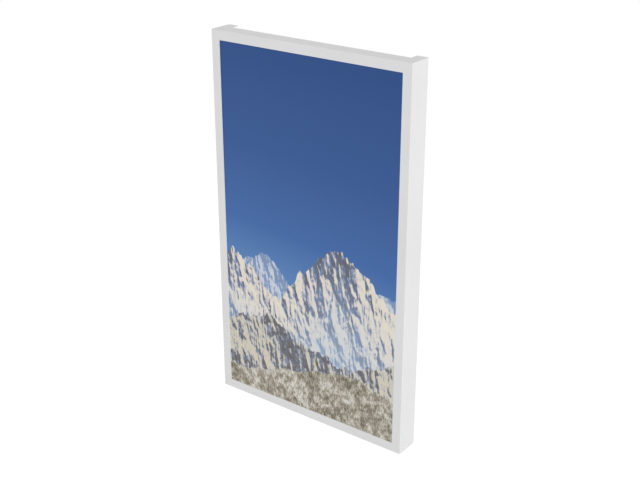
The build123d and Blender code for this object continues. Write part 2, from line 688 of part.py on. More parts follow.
def source_board():
    """The narrow driver board along the top edge, with the ribbon's socket."""
    level = (tray_back, tray_back + SOURCE_BOARD_THICKNESS)
    board = block((-SOURCE_BOARD_WIDTH / 2, SOURCE_BOARD_WIDTH / 2), level, (source_low, source_high))
    socket_y = (level[1], tray_back + RIBBON_LIFT + 2 * RIBBON_THICKNESS)
    half = RIBBON_WIDTH / 2 + RIBBON_SOCKET_EDGE
    socket_z = (source_low + RIBBON_SOCKET_EDGE, source_high - RIBBON_SOCKET_EDGE)
    socket = block((-half, half), socket_y, socket_z)
    return board + socket


def board_standoffs():
    """Hexagonal sleeves between the tray and the boards."""
    level = (tray_back, board_front)
    sleeves = [stud_y(x, z, STANDOFF_RADIUS, level) for x, z in all_board_places]
    return Compound([sleeve - hole for sleeve, hole in zip(sleeves, screw_holes(all_board_places, level))])


def board_screws():
    """Screws through the boards into their standoffs."""
    length = BOARD_THICKNESS + STANDOFF_HEIGHT / 2
    return Compound([small_screw(x, z, board_back, length) for x, z in all_board_places])


def finned_block(x, z, size, count):
    """A heat sink with upright fins."""
    top = board_back + COMPONENT_HEIGHT
    span_z = (z - size / 2, z + size / 2)
    sink = block((x - size / 2, x + size / 2), (board_back, board_back + HEATSINK_BASE), span_z)
    for offset in spread(count, (size - HEATSINK_FIN) / 2):
        fin_x = (x + offset - HEATSINK_FIN / 2, x + offset + HEATSINK_FIN / 2)
        sink += block(fin_x, (board_back, top), span_z)
    return sink


def power_transformer():
    """A ferrite core round its winding."""
    x = power_x
    z = (power_low + power_high) / 2
    half = TRANSFORMER_SIZE / 2
    level = (board_back, board_back + COMPONENT_HEIGHT)
    core = block((x - half, x + half), level, (z - half, z + half))
    winding = block((x - half, x + half), level, (z - TRANSFORMER_WINDOW / 2, z + TRANSFORMER_WINDOW / 2))
    bobbin = chamfer(winding.edges().filter_by(Axis.Z), BOBBIN_EDGE)
    return core - winding + bobbin


def power_capacitors():
    """Laid-down capacitors on the power board."""
    cans = []
    z = power_high - PLUG_LENGTH - CAPACITOR_LENGTH
    y = board_back + CAPACITOR_RADIUS
    for i in range(CAPACITOR_COUNT):
        x = power_x - POWER_BOARD_WIDTH / 2 + CAPACITOR_LENGTH + i * CAPACITOR_PITCH
        cans.append(stud_z(x, y, CAPACITOR_RADIUS, (z, z + CAPACITOR_LENGTH)))
    return Compound(cans)


def power_heatsink():
    """An angle of aluminium beside the transformer."""
    x = power_x + TRANSFORMER_SIZE
    z = (power_low + power_high) / 2
    span_z = (z - POWER_FIN_LENGTH / 2, z + POWER_FIN_LENGTH / 2)
    foot = block((x, x + 2 * COMPONENT_HEIGHT), (board_back, board_back + POWER_FIN_THICKNESS), span_z)
    return foot + block((x, x + POWER_FIN_THICKNESS), (board_back, board_back + COMPONENT_HEIGHT), span_z)


def power_harness():
    """A flat loom of leads from the power board to the main board, between two plugs."""
    plugs = []
    for x, top in ((-harness_x, power_high), (harness_x, main_high)):
        plug_x = (x - PLUG_WIDTH / 2, x + PLUG_WIDTH / 2)
        plugs.append(block(plug_x, (board_back, board_back + PLUG_HEIGHT), (top - PLUG_LENGTH, top)))
    crest = max(power_high, main_high) + HARNESS_RISE
    corners = [(-harness_x, power_high), (-harness_x, crest), (harness_x, crest), (harness_x, main_high)]
    loom = Plane.XZ * folded(corners, HARNESS_WIDTH, HARNESS_BEND)
    return Pos(0, harness_y, 0) * extrude(loom, amount=HARNESS_THICKNESS / 2, both=True) + plugs


def panel_ribbon():
    """The flat cable from the timing board, under the cover's wall, to the source board."""
    high_y = board_back + RIBBON_LIFT
    low_y = tray_back + RIBBON_LIFT + RIBBON_THICKNESS / 2
    start = tcon_high - 2 * PLUG_LENGTH
    drop = cover_half_z - COVER_WALL - RIBBON_ENTRY
    end = source_low + RIBBON_SOCKET_EDGE
    outline = [(high_y, start), (high_y, tcon_high), (low_y, drop), (low_y, end)]
    tape = folded(outline, RIBBON_THICKNESS, RIBBON_BEND)
    return extrude(Plane.YZ * tape, amount=RIBBON_WIDTH / 2, both=True)


def signal_ribbon():
    """The flat cable from the main board up to the timing board, with a socket at each end."""
    low_y = board_back + RIBBON_LIFT - RIBBON_THICKNESS / 2
    span_x = (signal_x - SIGNAL_WIDTH / 2, signal_x + SIGNAL_WIDTH / 2)
    tape_z = (main_high - PLUG_LENGTH, tcon_low + PLUG_LENGTH)
    tape = block(span_x, (low_y, low_y + RIBBON_THICKNESS), tape_z)
    socket_y = (board_back, board_back + 2 * RIBBON_LIFT)
    lower = block(span_x, socket_y, (main_high - PLUG_LENGTH, main_high - PLUG_LENGTH / 2))
    upper = block(span_x, socket_y, (tcon_low + PLUG_LENGTH / 2, tcon_low + PLUG_LENGTH))
    return tape + lower + upper


def tcon_board():
    """The timing board, with the socket of the panel ribbon."""
    board = circuit_board(0, TCON_WIDTH / 2, tcon_low, tcon_high, tcon_places)
    half = RIBBON_WIDTH / 2
    top = board_back + RIBBON_LIFT - RIBBON_THICKNESS / 2
    socket_z = (tcon_high - 2 * PLUG_LENGTH, tcon_high - PLUG_LENGTH)
    return board + block((-half, half), (board_back, top), socket_z)


def port_body(x, width, height):
    """The outer bounds of one socket on the main board's lower edge."""
    span_x = (x - width / 2, x + width / 2)
    z = (cover_floor - PORT_PROUD, cover_floor - PORT_PROUD + PORT_DEPTH)
    return span_x, (board_back, board_back + height), z


def io_ports():
    """Metal sockets on the main board, open below."""
    ports = []
    for x, width, height in zip(port_x, PORT_WIDTHS, PORT_HEIGHTS):
        span_x, level, z = port_body(x, width, height)
        port = block(span_x, level, z)
        hollow_x = (span_x[0] + PORT_WALL, span_x[1] - PORT_WALL)
        hollow_y = (level[0] + PORT_WALL, level[1] - PORT_WALL)
        ports.append(port - block(hollow_x, hollow_y, (z[0], z[1] - PORT_WALL)))
    return Compound(ports)


def io_plate():
    """The thin plate behind the cover's lower opening, cut out for each socket."""
    edge = IO_OPENING_EDGE
    span_x = (io_x[0] - edge, io_x[1] + edge)
    sheet = block(span_x, (board_back, cover_inner), (cover_floor, cover_floor + IO_PLATE_SHEET))
    for x, width, height in zip(port_x, PORT_WIDTHS, PORT_HEIGHTS):
        body_x, level, z = port_body(x, width, height)
        hole_x = (body_x[0] - PORT_CLEARANCE, body_x[1] + PORT_CLEARANCE)
        sheet -= block(hole_x, (level[0] - PORT_CLEARANCE, level[1] + PORT_CLEARANCE), z)
    return sheet


def electronics_cover():
    """The moulded cover over the boards, with vents, speaker slots and the lower wall's openings."""
    outer = plate(cover_half_x, cover_half_z, (tray_back, vesa_plane))
    outer = fillet(outer.edges().filter_by(Axis.Y), COVER_CORNER)
    outer = chamfer(outer.faces().sort_by(Axis.Y)[-1].edges(), COVER_EDGE)
    hollow = plate(cover_half_x - COVER_WALL, cover_half_z - COVER_WALL, (tray_back, cover_inner))
    hollow = fillet(hollow.edges().filter_by(Axis.Y), COVER_CORNER - COVER_WALL)
    foot_y = (tray_back, tray_back + COVER_WALL)
    foot = plate(cover_half_x + COVER_FOOT, cover_half_z - COVER_CORNER, foot_y)
    cover = outer + foot - hollow
    past = (cover_inner - COVER_WALL, vesa_plane + COVER_WALL)
    slots = []
    for offset in spread(VENT_SLOTS, VENT_PITCH * (VENT_SLOTS - 1) / 2):
        x = (offset - VENT_WIDTH / 2, offset + VENT_WIDTH / 2)
        for z in (cover_half_z - VENT_EDGE, VENT_EDGE - cover_half_z):
            slots.append(block(x, past, (z - VENT_LENGTH / 2, z + VENT_LENGTH / 2)))
    for side in SIDES.values():
        x = (side * speaker_x - CONE_RADIUS, side * speaker_x + CONE_RADIUS)
        for z in spread(SPEAKER_SLOTS, VENT_PITCH * (SPEAKER_SLOTS - 1) / 2):
            slots.append(block(x, past, (z - VENT_WIDTH / 2, z + VENT_WIDTH / 2)))
    cover -= slots
    boss = VESA_BOSS_RADIUS + SCREW_CLEARANCE
    cover -= [stud_y(x, z, boss, past) for x, z in vesa_places]
    lower = (-cover_half_z - COVER_WALL, cover_floor + COVER_WALL)
    cover -= block(io_x, (board_back, cover_inner - COMPONENT_CLEARANCE), lower)
    for x, half_x, half_y in (
        (inlet_x, INLET_WIDTH / 2 + INLET_FIT, INLET_HEIGHT / 2 + INLET_FIT),
        (switch_x, switch_half_x + INLET_FIT, switch_half_y + INLET_FIT),
    ):
        cover -= block((x - half_x, x + half_x), (cover_mid_y - half_y, cover_mid_y + half_y), lower)
    notch = RIBBON_WIDTH / 2 + RIBBON_NOTCH_GAP
    notch_y = (tray_back, tray_back + RIBBON_LIFT + RIBBON_THICKNESS + RIBBON_NOTCH_GAP)
    cover -= block((-notch, notch), notch_y, (cover_half_z - 2 * COVER_WALL, cover_half_z + COVER_WALL))
    return cover - screw_holes(foot_places, foot_y)


def speaker(side):
    """A flat speaker box with its cone facing the cover's slots."""
    x = side * speaker_x
    back = tray_back + SPEAKER_DEPTH
    span_x = (x - SPEAKER_WIDTH / 2, x + SPEAKER_WIDTH / 2)
    box = block(span_x, (tray_back, back), (-SPEAKER_HEIGHT / 2, SPEAKER_HEIGHT / 2))
    box = chamfer(box.edges().filter_by(Axis.Y), SPEAKER_EDGE)
    well = extrude(RegularPolygon(CONE_RADIUS, SMALL_SIDES), amount=CONE_DEPTH, taper=CONE_TAPER)
    return box - Pos(x, back, 0) * Rot(90, 0, 0) * well


def cover_screws():
    """Screws through the cover's foot, and through the key housing's lugs, into the tray."""
    foot = COVER_WALL + TRAY_SHEET
    lug = KEY_LUG_SHEET + TRAY_SHEET
    screws = [small_screw(x, z, tray_back + COVER_WALL, foot) for x, z in foot_places]
    screws += [small_screw(x, z, tray_back + KEY_LUG_SHEET, lug) for x, z in key_lug_places]
    return Compound(screws)


def ac_inlet():
    """The mains inlet in the cover's lower wall, a figure-eight socket."""
    low = -cover_half_z
    half_y = INLET_HEIGHT / 2
    body_x = (inlet_x - INLET_WIDTH / 2, inlet_x + INLET_WIDTH / 2)
    body = block(body_x, (cover_mid_y - half_y, cover_mid_y + half_y), (low, inlet_top))
    grow = INLET_FLANGE
    rim_y = (cover_mid_y - half_y - grow / 2, cover_mid_y + half_y + grow / 2)
    body += block((body_x[0] - grow, body_x[1] + grow), rim_y, (low - INLET_FLANGE_SHEET, low))
    socket = SlotOverall(INLET_SOCKET_PITCH + 2 * INLET_SOCKET_RADIUS, 2 * INLET_SOCKET_RADIUS)
    mouth = Pos(inlet_x, cover_mid_y, low - INLET_FLANGE_SHEET) * socket
    return body - extrude(mouth, amount=INLET_SOCKET_DEPTH, dir=(0, 0, 1))


def inlet_pins():
    """The inlet's two contact pins."""
    floor = -cover_half_z - INLET_FLANGE_SHEET + INLET_SOCKET_DEPTH
    pins = []
    for side in SIDES.values():
        x = inlet_x + side * INLET_SOCKET_PITCH / 2
        pins.append(stud_z(x, cover_mid_y, INLET_PIN_RADIUS, (floor - INLET_PIN_LENGTH, floor)))
    return Compound(pins)


def switch_housing():
    """The rocker's box in the cover's lower wall, with blind holes for the rocker's pins."""
    low = -cover_half_z
    high = rocker_z + ROCKER_HUB + ROCKER_CLEARANCE + SWITCH_WALL
    body_x = (switch_x - switch_half_x, switch_x + switch_half_x)
    body_y = (cover_mid_y - switch_half_y, cover_mid_y + switch_half_y)
    body = block(body_x, body_y, (low, high))
    grow = INLET_FLANGE
    rim_y = (body_y[0] - grow / 2, body_y[1] + grow / 2)
    body += block((body_x[0] - grow, body_x[1] + grow), rim_y, (low - INLET_FLANGE_SHEET, low))
    hollow_x = (body_x[0] + SWITCH_WALL, body_x[1] - SWITCH_WALL)
    hollow_y = (body_y[0] + SWITCH_WALL, body_y[1] - SWITCH_WALL)
    body -= block(hollow_x, hollow_y, (low - INLET_FLANGE_SHEET, high - SWITCH_WALL))
    reach = ROCKER_DEPTH / 2 + ROCKER_PIN_LENGTH + ROCKER_CLEARANCE
    bore = ROCKER_PIN_RADIUS + ROCKER_PIN_CLEARANCE
    return body - rod_y(switch_x, rocker_z, bore, (cover_mid_y - reach, cover_mid_y + reach))


def mains_rocker():
    """The rocker paddle on its pin, tilted to the on side."""
    hub = Circle(ROCKER_HUB)
    dish = (0, ROCKER_DISH - ROCKER_FACE)
    face = [(-ROCKER_HALF_WIDTH, -ROCKER_FACE), dish, (ROCKER_HALF_WIDTH, -ROCKER_FACE)]
    waist = ROCKER_HALF_WIDTH - ROCKER_CLEARANCE
    outline = face + [(waist, -ROCKER_HUB / 2), (-waist, -ROCKER_HUB / 2)]
    paddle = make_face(Polyline(*outline, close=True)) + hub
    rocker = extrude(Plane.XZ * paddle, amount=ROCKER_DEPTH / 2, both=True)
    pin = ROCKER_DEPTH / 2 + ROCKER_PIN_LENGTH
    rocker += rod_y(0, 0, ROCKER_PIN_RADIUS, (-pin, pin))
    return Pos(switch_x, cover_mid_y, rocker_z) * Rot(0, ROCKER_TILT, 0) * rocker


def key_bar(width, depth, grow, z):
    """A bar on the power key's line, grown by a margin all round."""
    half_x = width / 2 + grow
    half_y = depth / 2 + grow
    return block((KEY_X - half_x, KEY_X + half_x), (key_y - half_y, key_y + half_y), z)


def key_housing():
    """The moulded holder of the power key, with a guide hole below and a screw lug each side."""
    half = KEY_HOUSING_WIDTH / 2
    span_x = (KEY_X - half, KEY_X + half)
    back = tray_back + KEY_HOUSING_DEPTH
    shell = block(span_x, (tray_back, back), (key_wall_low, key_housing_top))
    shell = chamfer(shell.faces().sort_by(Axis.Y)[-1].edges(), KEY_HOUSING_EDGE)
    hollow_x = (span_x[0] + KEY_WALL, span_x[1] - KEY_WALL)
    shell -= block(hollow_x, (tray_back, back - KEY_WALL), (key_wall_high, key_board_high))
    lug_half = KEY_LUG / 2
    for x in key_lug_x:
        lug_z = (key_lug_z - lug_half, key_lug_z + lug_half)
        shell += block((x - lug_half, x + lug_half), (tray_back, tray_back + KEY_LUG_SHEET), lug_z)
    shell -= key_bar(KEY_STEM_WIDTH, KEY_STEM_DEPTH, KEY_STEM_CLEARANCE, (key_wall_low, key_wall_high))
    return shell - screw_holes(key_lug_places, (tray_back, tray_back + KEY_LUG_SHEET))


def key_board():
    """The small board over the key, with its push switch."""
    half = KEY_HOUSING_WIDTH / 2 - KEY_WALL
    level = (tray_back, tray_back + KEY_HOUSING_DEPTH - KEY_WALL)
    board = block((KEY_X - half, KEY_X + half), level, (key_board_low, key_board_high))
    push = key_bar(KEY_SWITCH_SIZE, KEY_SWITCH_SIZE, 0, (key_switch_low, key_board_low))
    return board + push


def power_key():
    """The push key: a cap below, a guided stem and a flange that keeps it in."""
    cap = key_bar(KEY_CAP_WIDTH, KEY_CAP_DEPTH, 0, (key_tip, key_cap_top))
    cap = chamfer(cap.faces().sort_by(Axis.Z)[0].edges() + cap.edges().filter_by(Axis.Z), KEY_CAP_EDGE)
    stem = key_bar(KEY_STEM_WIDTH, KEY_STEM_DEPTH, 0, (key_cap_top, key_stem_high))
    flange_z = (key_wall_high, key_wall_high + KEY_FLANGE)
    return cap + stem + key_bar(KEY_STEM_WIDTH, KEY_STEM_DEPTH, KEY_FLANGE_STEP, flange_z)


def all_nodes():
    """Every piece of the photo frame under its node name."""
    nodes = {
        "casing_shell": casing_shell(),
        "window_gasket": window_gasket(),
        "wall_bumpers": wall_bumpers(),
        "frame_rivets": frame_rivets(),
        "vesa_screws": vesa_screws(),
        "safety_screws": safety_screws(),
        "display_bezel": display_bezel(),
        "bezel_screws": bezel_screws(),
        "lcd_cell": lcd_cell(),
        "mid_frame": mid_frame(),
        "optical_films": film_plate((shelf_back, films_back)),
        "diffuser_plate": film_plate((films_back, diffuser_back)),
        "reflector_sheet": reflector_sheet(),
        "led_strips": led_strips(),
        "backlight_tray": backlight_tray(),
        "vesa_bosses": vesa_bosses(),
        "source_board": source_board(),
        "tcon_board": tcon_board(),
        "main_board": circuit_board(main_x, MAIN_BOARD_WIDTH / 2, main_low, main_high, main_places),
        "soc_heatsink": finned_block(main_x, (main_low + main_high) / 2, HEATSINK_SIZE, HEATSINK_FINS),
        "io_ports": io_ports(),
        "io_plate": io_plate(),
        "power_board": circuit_board(power_x, POWER_BOARD_WIDTH / 2, power_low, power_high, power_places),
        "power_transformer": power_transformer(),
        "power_capacitors": power_capacitors(),
        "power_heatsink": power_heatsink(),
        "board_standoffs": board_standoffs(),
        "board_screws": board_screws(),
        "panel_ribbon": panel_ribbon(),
        "signal_ribbon": signal_ribbon(),
        "power_harness": power_harness(),
        "electronics_cover": electronics_cover(),
        "cover_screws": cover_screws(),
        "ac_inlet": ac_inlet(),
        "inlet_pins": inlet_pins(),
        "switch_housing": switch_housing(),
        "mains_rocker": mains_rocker(),
        "key_housing": key_housing(),
        "key_board": key_board(),
        "power_key": power_key(),
    }
    for height, level in RAIL_LEVELS.items():
        nodes[f"wall_rail_{height}"] = wall_rail(level)
        for name, side in SIDES.items():
            nodes[f"casing_hook_{height}_{name}"] = casing_hook(side, level)
    for name, side in SIDES.items():
        nodes[f"frame_upright_{name}"] = frame_upright(side)
        nodes[f"vesa_arm_{name}"] = vesa_arm(side)
        nodes[f"speaker_{name}"] = speaker(side)
    return nodes


os.makedirs("parts", exist_ok=True)
for node_name, node_shape in all_nodes().items():
    export_step(node_shape, f"parts/{node_name}.step")
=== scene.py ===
"""Looks of a portrait wall-hung digital photo frame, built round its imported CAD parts."""

import logging
import math
from dataclasses import dataclass
from enum import Enum
from typing import Any, Callable, NamedTuple, Optional, Union

import bmesh
import bpy
from mathutils import Color, Matrix, Vector


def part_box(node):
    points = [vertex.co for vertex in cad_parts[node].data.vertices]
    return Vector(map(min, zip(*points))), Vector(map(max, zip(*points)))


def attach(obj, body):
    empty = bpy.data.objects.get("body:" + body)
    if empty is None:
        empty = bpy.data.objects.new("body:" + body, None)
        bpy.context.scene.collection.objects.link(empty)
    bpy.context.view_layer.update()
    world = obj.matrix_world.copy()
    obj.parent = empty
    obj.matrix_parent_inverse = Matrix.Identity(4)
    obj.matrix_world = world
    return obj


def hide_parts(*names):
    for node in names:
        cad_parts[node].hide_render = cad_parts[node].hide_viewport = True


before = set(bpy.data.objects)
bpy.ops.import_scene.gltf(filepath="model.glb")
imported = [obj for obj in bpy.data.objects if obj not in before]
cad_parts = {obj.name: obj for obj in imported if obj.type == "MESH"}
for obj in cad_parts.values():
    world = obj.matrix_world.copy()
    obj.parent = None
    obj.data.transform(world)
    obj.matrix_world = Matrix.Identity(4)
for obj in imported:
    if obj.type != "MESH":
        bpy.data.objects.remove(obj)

LOG = logging.getLogger("photo_frame")
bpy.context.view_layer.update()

Colour = tuple[float, float, float, float]
Stops = tuple[tuple[float, Colour], ...]
Corners = tuple[Vector, Vector]
Profile = tuple[tuple[float, float], ...]
Triple = tuple[float, float, float]
Value = Union["Term", float]

BACK = Vector((0, 1, 0))
UP = Vector((0, 0, 1))
DOWN = Vector((0, 0, -1))
WHITE: Colour = (1.0, 1.0, 1.0, 1.0)
HALF = 0.5
FULL_LEVEL = 255
QUAD_CORNERS = 4

# Lengths in metres and angles in radians, below which two points are one or an edge is smooth.
MERGE_DISTANCE = 1e-6
SMOOTH_ANGLE = math.radians(35)

# Half the width of a cross recess's arms, as a share of its radius.
CROSS_ARM = math.tan(math.radians(15))

# The sockets of the Mix node that mixes colours, by number because their names repeat.
MIX_SHARE, MIX_LOW, MIX_HIGH, MIX_RESULT = 0, 6, 7, 2


class Body(Enum):
    """The CAD bodies that new pieces ride on."""

    DISPLAY = "mount_and_display"
    CASING = "casing"


class Slot(Enum):
    """Names of material slots, which some new pieces carry."""

    ALUMINIUM = "aluminium"
    BLACK_PLASTIC = "black_plastic"
    FASTENER = "zinc_fastener"
    FERRITE = "ferrite"
    FLAT_CABLE = "flat_cable"
    RUBBER = "rubber"


def linear(red: float, green: float, blue: float) -> Colour:
    """Turns display levels of 0 to 255 into the opaque linear colour that shaders use."""
    levels = Color((red, green, blue)) / FULL_LEVEL
    return (*levels.from_srgb_to_scene_linear(), 1.0)


def darker(colour: Colour, share: float) -> Colour:
    """A colour at a share of its own lightness."""
    red, green, blue, alpha = colour
    return red * share, green * share, blue * share, alpha


class Term:
    """A shader value. Python's operators on terms and numbers add Math nodes."""

    def __init__(self, graph: "Graph", socket: Optional[bpy.types.NodeSocket]) -> None:
        """Wraps one output socket of a graph."""
        self.graph = graph
        self.socket = socket

    def other(self, output: Union[str, int]) -> "Term":
        """Another output of the same node."""
        return Term(self.graph, self.socket.node.outputs[output])

    def _math(self, operation: str, first: Value, second: Value = 0.0) -> "Term":
        """A Math node on one or two values, each a term or a number."""
        return self.graph.node("ShaderNodeMath", {"operation": operation}, {0: first, 1: second})

    def __add__(self, value: Value) -> "Term":
        """This term plus a value."""
        return self._math("ADD", self, value)

    __radd__ = __add__

    def __sub__(self, value: Value) -> "Term":
        """This term less a value."""
        return self._math("SUBTRACT", self, value)

    def __rsub__(self, value: Value) -> "Term":
        """A value less this term."""
        return self._math("SUBTRACT", value, self)

    def __mul__(self, value: Value) -> "Term":
        """This term times a value."""
        return self._math("MULTIPLY", self, value)

    __rmul__ = __mul__

    def __truediv__(self, value: Value) -> "Term":
        """This term divided by a value."""
        return self._math("DIVIDE", self, value)

    def __abs__(self) -> "Term":
        """The size of this term, without its sign."""
        return self._math("ABSOLUTE", self)

    def fraction(self) -> "Term":
        """What this term has above the whole number below it."""
        return self._math("FRACT", self)

    def largest(self, value: Value) -> "Term":
        """The larger of this term and a value."""
        return self._math("MAXIMUM", self, value)

    def swing(self, width: float) -> "Term":
        """This term of 0 to 1, moved to lie about 0 over a width."""
        return (self - HALF) * width

    def rise(self, low: float, high: float) -> "Term":
        """A smooth step of this term, from 0 at low to 1 at high."""
        inputs = {"Value": self, "From Min": low, "From Max": high}
        return self.graph.node("ShaderNodeMapRange", {"interpolation_type": "SMOOTHSTEP"}, inputs)


class Graph:
    """The node tree of a material or of the world."""

    def __init__(self, tree: bpy.types.NodeTree) -> None:
        """Takes over a node tree and empties it."""
        self.tree = tree
        tree.nodes.clear()

    def node(self, kind: str, settings: Optional[dict[str, Any]] = None,
             inputs: Optional[dict[Union[str, int], Any]] = None) -> Term:
        """Adds a node, with its settings first and then its sockets.

        Args:
            kind: the node's type.
            settings: the node's own settings, among them a ramp's stops.
            inputs: a value or a term for each named or numbered socket.

        Returns:
            The node's first output, or a term without a socket where it has none.
        """
        made = self.tree.nodes.new(kind)
        for key, value in (settings or {}).items():
            if key == "stops":
                self._set_stops(made.color_ramp, value)
            else:
                setattr(made, key, value)
        for key, value in (inputs or {}).items():
            if isinstance(value, Term):
                self.tree.links.new(value.socket, made.inputs[key])
            else:
                made.inputs[key].default_value = value
        return Term(self, made.outputs[0] if made.outputs else None)

    @staticmethod
    def _set_stops(ramp: bpy.types.ColorRamp, stops: Stops) -> None:
        """Writes the stops of a colour ramp.

        Args:
            ramp: the ramp.
            stops: the place, from 0 to 1, and the colour of each stop.
        """
        while len(ramp.elements) < len(stops):
            ramp.elements.new(1.0)
        for element, (place, colour) in zip(ramp.elements, stops):
            element.position = place
            element.color = colour

    def place(self) -> Term:
        """Where a point of the surface is in the object's own frame, as a vector."""
        return self.node("ShaderNodeTexCoord").other("Object")

    def split(self, vector: Term) -> tuple[Term, Term, Term]:
        """The x, y and z of a vector."""
        parts = self.node("ShaderNodeSeparateXYZ", inputs={0: vector})
        return parts, parts.other("Y"), parts.other("Z")

    def vector(self, x: Value, y: Value, z: Value = 0.0) -> Term:
        """A vector from its values."""
        return self.node("ShaderNodeCombineXYZ", inputs={0: x, 1: y, 2: z})

    def stretch(self, vector: Term, by: Triple) -> Term:
        """A vector times a number along each axis."""
        return self.node("ShaderNodeVectorMath", {"operation": "MULTIPLY"}, {0: vector, 1: by})

    def noise(self, vector: Term, scale: float, detail: float = 2.0, roughness: float = 0.5,
              **settings: str) -> Term:
        """A noise between 0 and 1.

        Args:
            vector: where it is read.
            scale: how many grains there are to the metre.
            detail: how many finer layers are added.
            roughness: how strong the finer layers are.
            settings: the noise node's own settings.

        Returns:
            The noise's value.
        """
        inputs = {"Vector": vector, "Scale": scale, "Detail": detail, "Roughness": roughness}
        return self.node("ShaderNodeTexNoise", settings, inputs)

    def cells(self, vector: Term, scale: float, **settings: str) -> Term:
        """The distance from random points. The node's Color differs from cell to cell."""
        return self.node("ShaderNodeTexVoronoi", settings, {"Vector": vector, "Scale": scale})

    def mix(self, low: Union[Term, Colour], high: Union[Term, Colour], share: Value) -> Term:
        """Mixes two colours, by a share from 0 to 1 of the second."""
        inputs = {MIX_SHARE: share, MIX_LOW: low, MIX_HIGH: high}
        return self.node("ShaderNodeMix", {"data_type": "RGBA"}, inputs).other(MIX_RESULT)

    def ramp(self, value: Term, stops: Stops) -> Term:
        """A colour that follows a value through stops."""
        return self.node("ShaderNodeValToRGB", {"stops": stops}, {0: value})

    def bump(self, height: Term, strength: float, depth: float) -> Term:
        """A normal that follows a height of 0 to 1, whose real depth is in metres."""
        inputs = {"Height": height, "Strength": strength, "Distance": depth}
        return self.node("ShaderNodeBump", inputs=inputs)

    def looked_at(self) -> Term:
        """Tells what is looked at from what only lights other surfaces.

        Returns:
            1 for what is seen straight, mirrored or through glass, and otherwise 0.
        """
        path = self.node("ShaderNodeLightPath")
        mirrored = path.other("Is Glossy Ray").largest(path.other("Is Transmission Ray"))
        return path.other("Is Camera Ray").largest(mirrored)

    def surface(self, **inputs: Any) -> None:
        """Ends the graph in a Principled shader.

        Args:
            inputs: a value or a term for each socket, in whose name _ stands for a space.
        """
        named = {key.replace("_", " "): value for key, value in inputs.items()}
        shader = self.node("ShaderNodeBsdfPrincipled", inputs=named)
        self.node("ShaderNodeOutputMaterial", inputs={"Surface": shader})


@dataclass(frozen=True)
class Finish:
    """What a surface is made of. Each kind of finish writes its own shader."""

    name: str
    colour: Colour
    roughness: float

    def paint(self, graph: Graph) -> None:
        """Writes the finish's shader into a graph."""
        raise NotImplementedError

    def material(self) -> bpy.types.Material:
        """The finish's material, made the first time it is asked for.

        Returns:
            The material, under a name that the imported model's own materials don't have.
        """
        name = f"{self.name}_finish"
        known = bpy.data.materials.get(name)
        if known:
            return known
        made = bpy.data.materials.new(name)
        made.use_nodes = True
        made.diffuse_color = self.colour
        self.paint(Graph(made.node_tree))
        return made

    def patches(self, graph: Graph, vector: Term, scale: float, loss: float) -> Term:
        """The finish's colour with soft darker patches.

        Args:
            graph: the finish's graph.
            vector: where the patches are read.
            scale: how many there are to the metre.
            loss: the share of its lightness that a patch loses.

        Returns:
            The patchy colour.
        """
        share = graph.noise(vector, scale, detail=3.0).rise(low=0.35, high=0.7)
        return graph.mix(self.colour, darker(self.colour, 1 - loss), share)


@dataclass(frozen=True)
class PowderCoat(Finish):
    """Baked powder paint: fine orange peel over faint unevenness."""

    peel: float = 900.0
    peel_gloss: float = 0.1
    wave: float = 180.0
    wave_gloss: float = 0.05
    wave_share: float = 0.3
    depth: float = 0.00006

    def paint(self, graph: Graph) -> None:
        """Fine and coarse orange peel, with a roughness that follows the grain.

        Args:
            graph: the finish's graph.
        """
        vector = graph.place()
        fine = graph.noise(vector, self.peel, roughness=0.55)
        coarse = graph.noise(vector, self.wave, detail=1.0)
        height = fine * (1 - self.wave_share) + coarse * self.wave_share
        graph.surface(
            Base_Color=self.patches(graph, vector, scale=6.0, loss=0.025),
            Roughness=self.roughness + fine.swing(self.peel_gloss) + coarse.swing(self.wave_gloss),
            Normal=graph.bump(height, strength=0.35, depth=self.depth),
            Specular_IOR_Level=0.4,
        )


@dataclass(frozen=True)
class ZincSheet(Finish):
    """Hot-dip galvanised steel with its spangle."""

    spangle: float = 190.0
    spangle_gloss: float = 0.16
    warp: float = 0.004
    darkest: float = 0.78
    grain: Triple = (48.0, 48.0, 1200.0)
    grain_gloss: float = 0.08
    grain_share: float = 0.25

    def paint(self, graph: Graph) -> None:
        """Crystal patches that differ in grey and in gloss, with a rolled grain.

        Args:
            graph: the finish's graph.
        """
        vector = graph.place()
        bent = graph.noise(vector, self.spangle / 2).other("Color")
        inputs = {0: bent, 1: (self.warp,) * 3, 2: vector}
        warped = graph.node("ShaderNodeVectorMath", {"operation": "MULTIPLY_ADD"}, inputs)
        crystals = graph.cells(warped, self.spangle).other("Color")
        level = graph.node("ShaderNodeSeparateColor", inputs={0: crystals})
        sheen = level.other(1).swing(self.spangle_gloss)
        rolled = graph.noise(graph.stretch(vector, self.grain), scale=1.0)
        share = level * (1 - self.grain_share) + rolled * self.grain_share
        graph.surface(
            Base_Color=graph.mix(darker(self.colour, self.darkest), self.colour, share),
            Metallic=0.9,
            Roughness=self.roughness + sheen + rolled.swing(self.grain_gloss),
            Normal=graph.bump(rolled, strength=0.12, depth=0.00005),
        )


@dataclass(frozen=True)
class StreakedSurface(Finish):
    """Drawn metal or optical film, with fine marks along one direction."""

    along: Triple = (40.0, 900.0, 900.0)
    detail: float = 3.0
    gloss: float = 0.18
    metal: float = 1.0
    patch: float = 60.0
    patch_loss: float = 0.16

    def paint(self, graph: Graph) -> None:
        """Streaks in gloss and height, over a patchy colour.

        Args:
            graph: the finish's graph.
        """
        vector = graph.place()
        streak = graph.noise(graph.stretch(vector, self.along), scale=1.0, detail=self.detail)
        graph.surface(
            Base_Color=self.patches(graph, vector, self.patch, self.patch_loss),
            Metallic=self.metal,
            Roughness=self.roughness + streak.swing(self.gloss),
            Normal=graph.bump(streak, strength=0.1, depth=0.00003),
        )


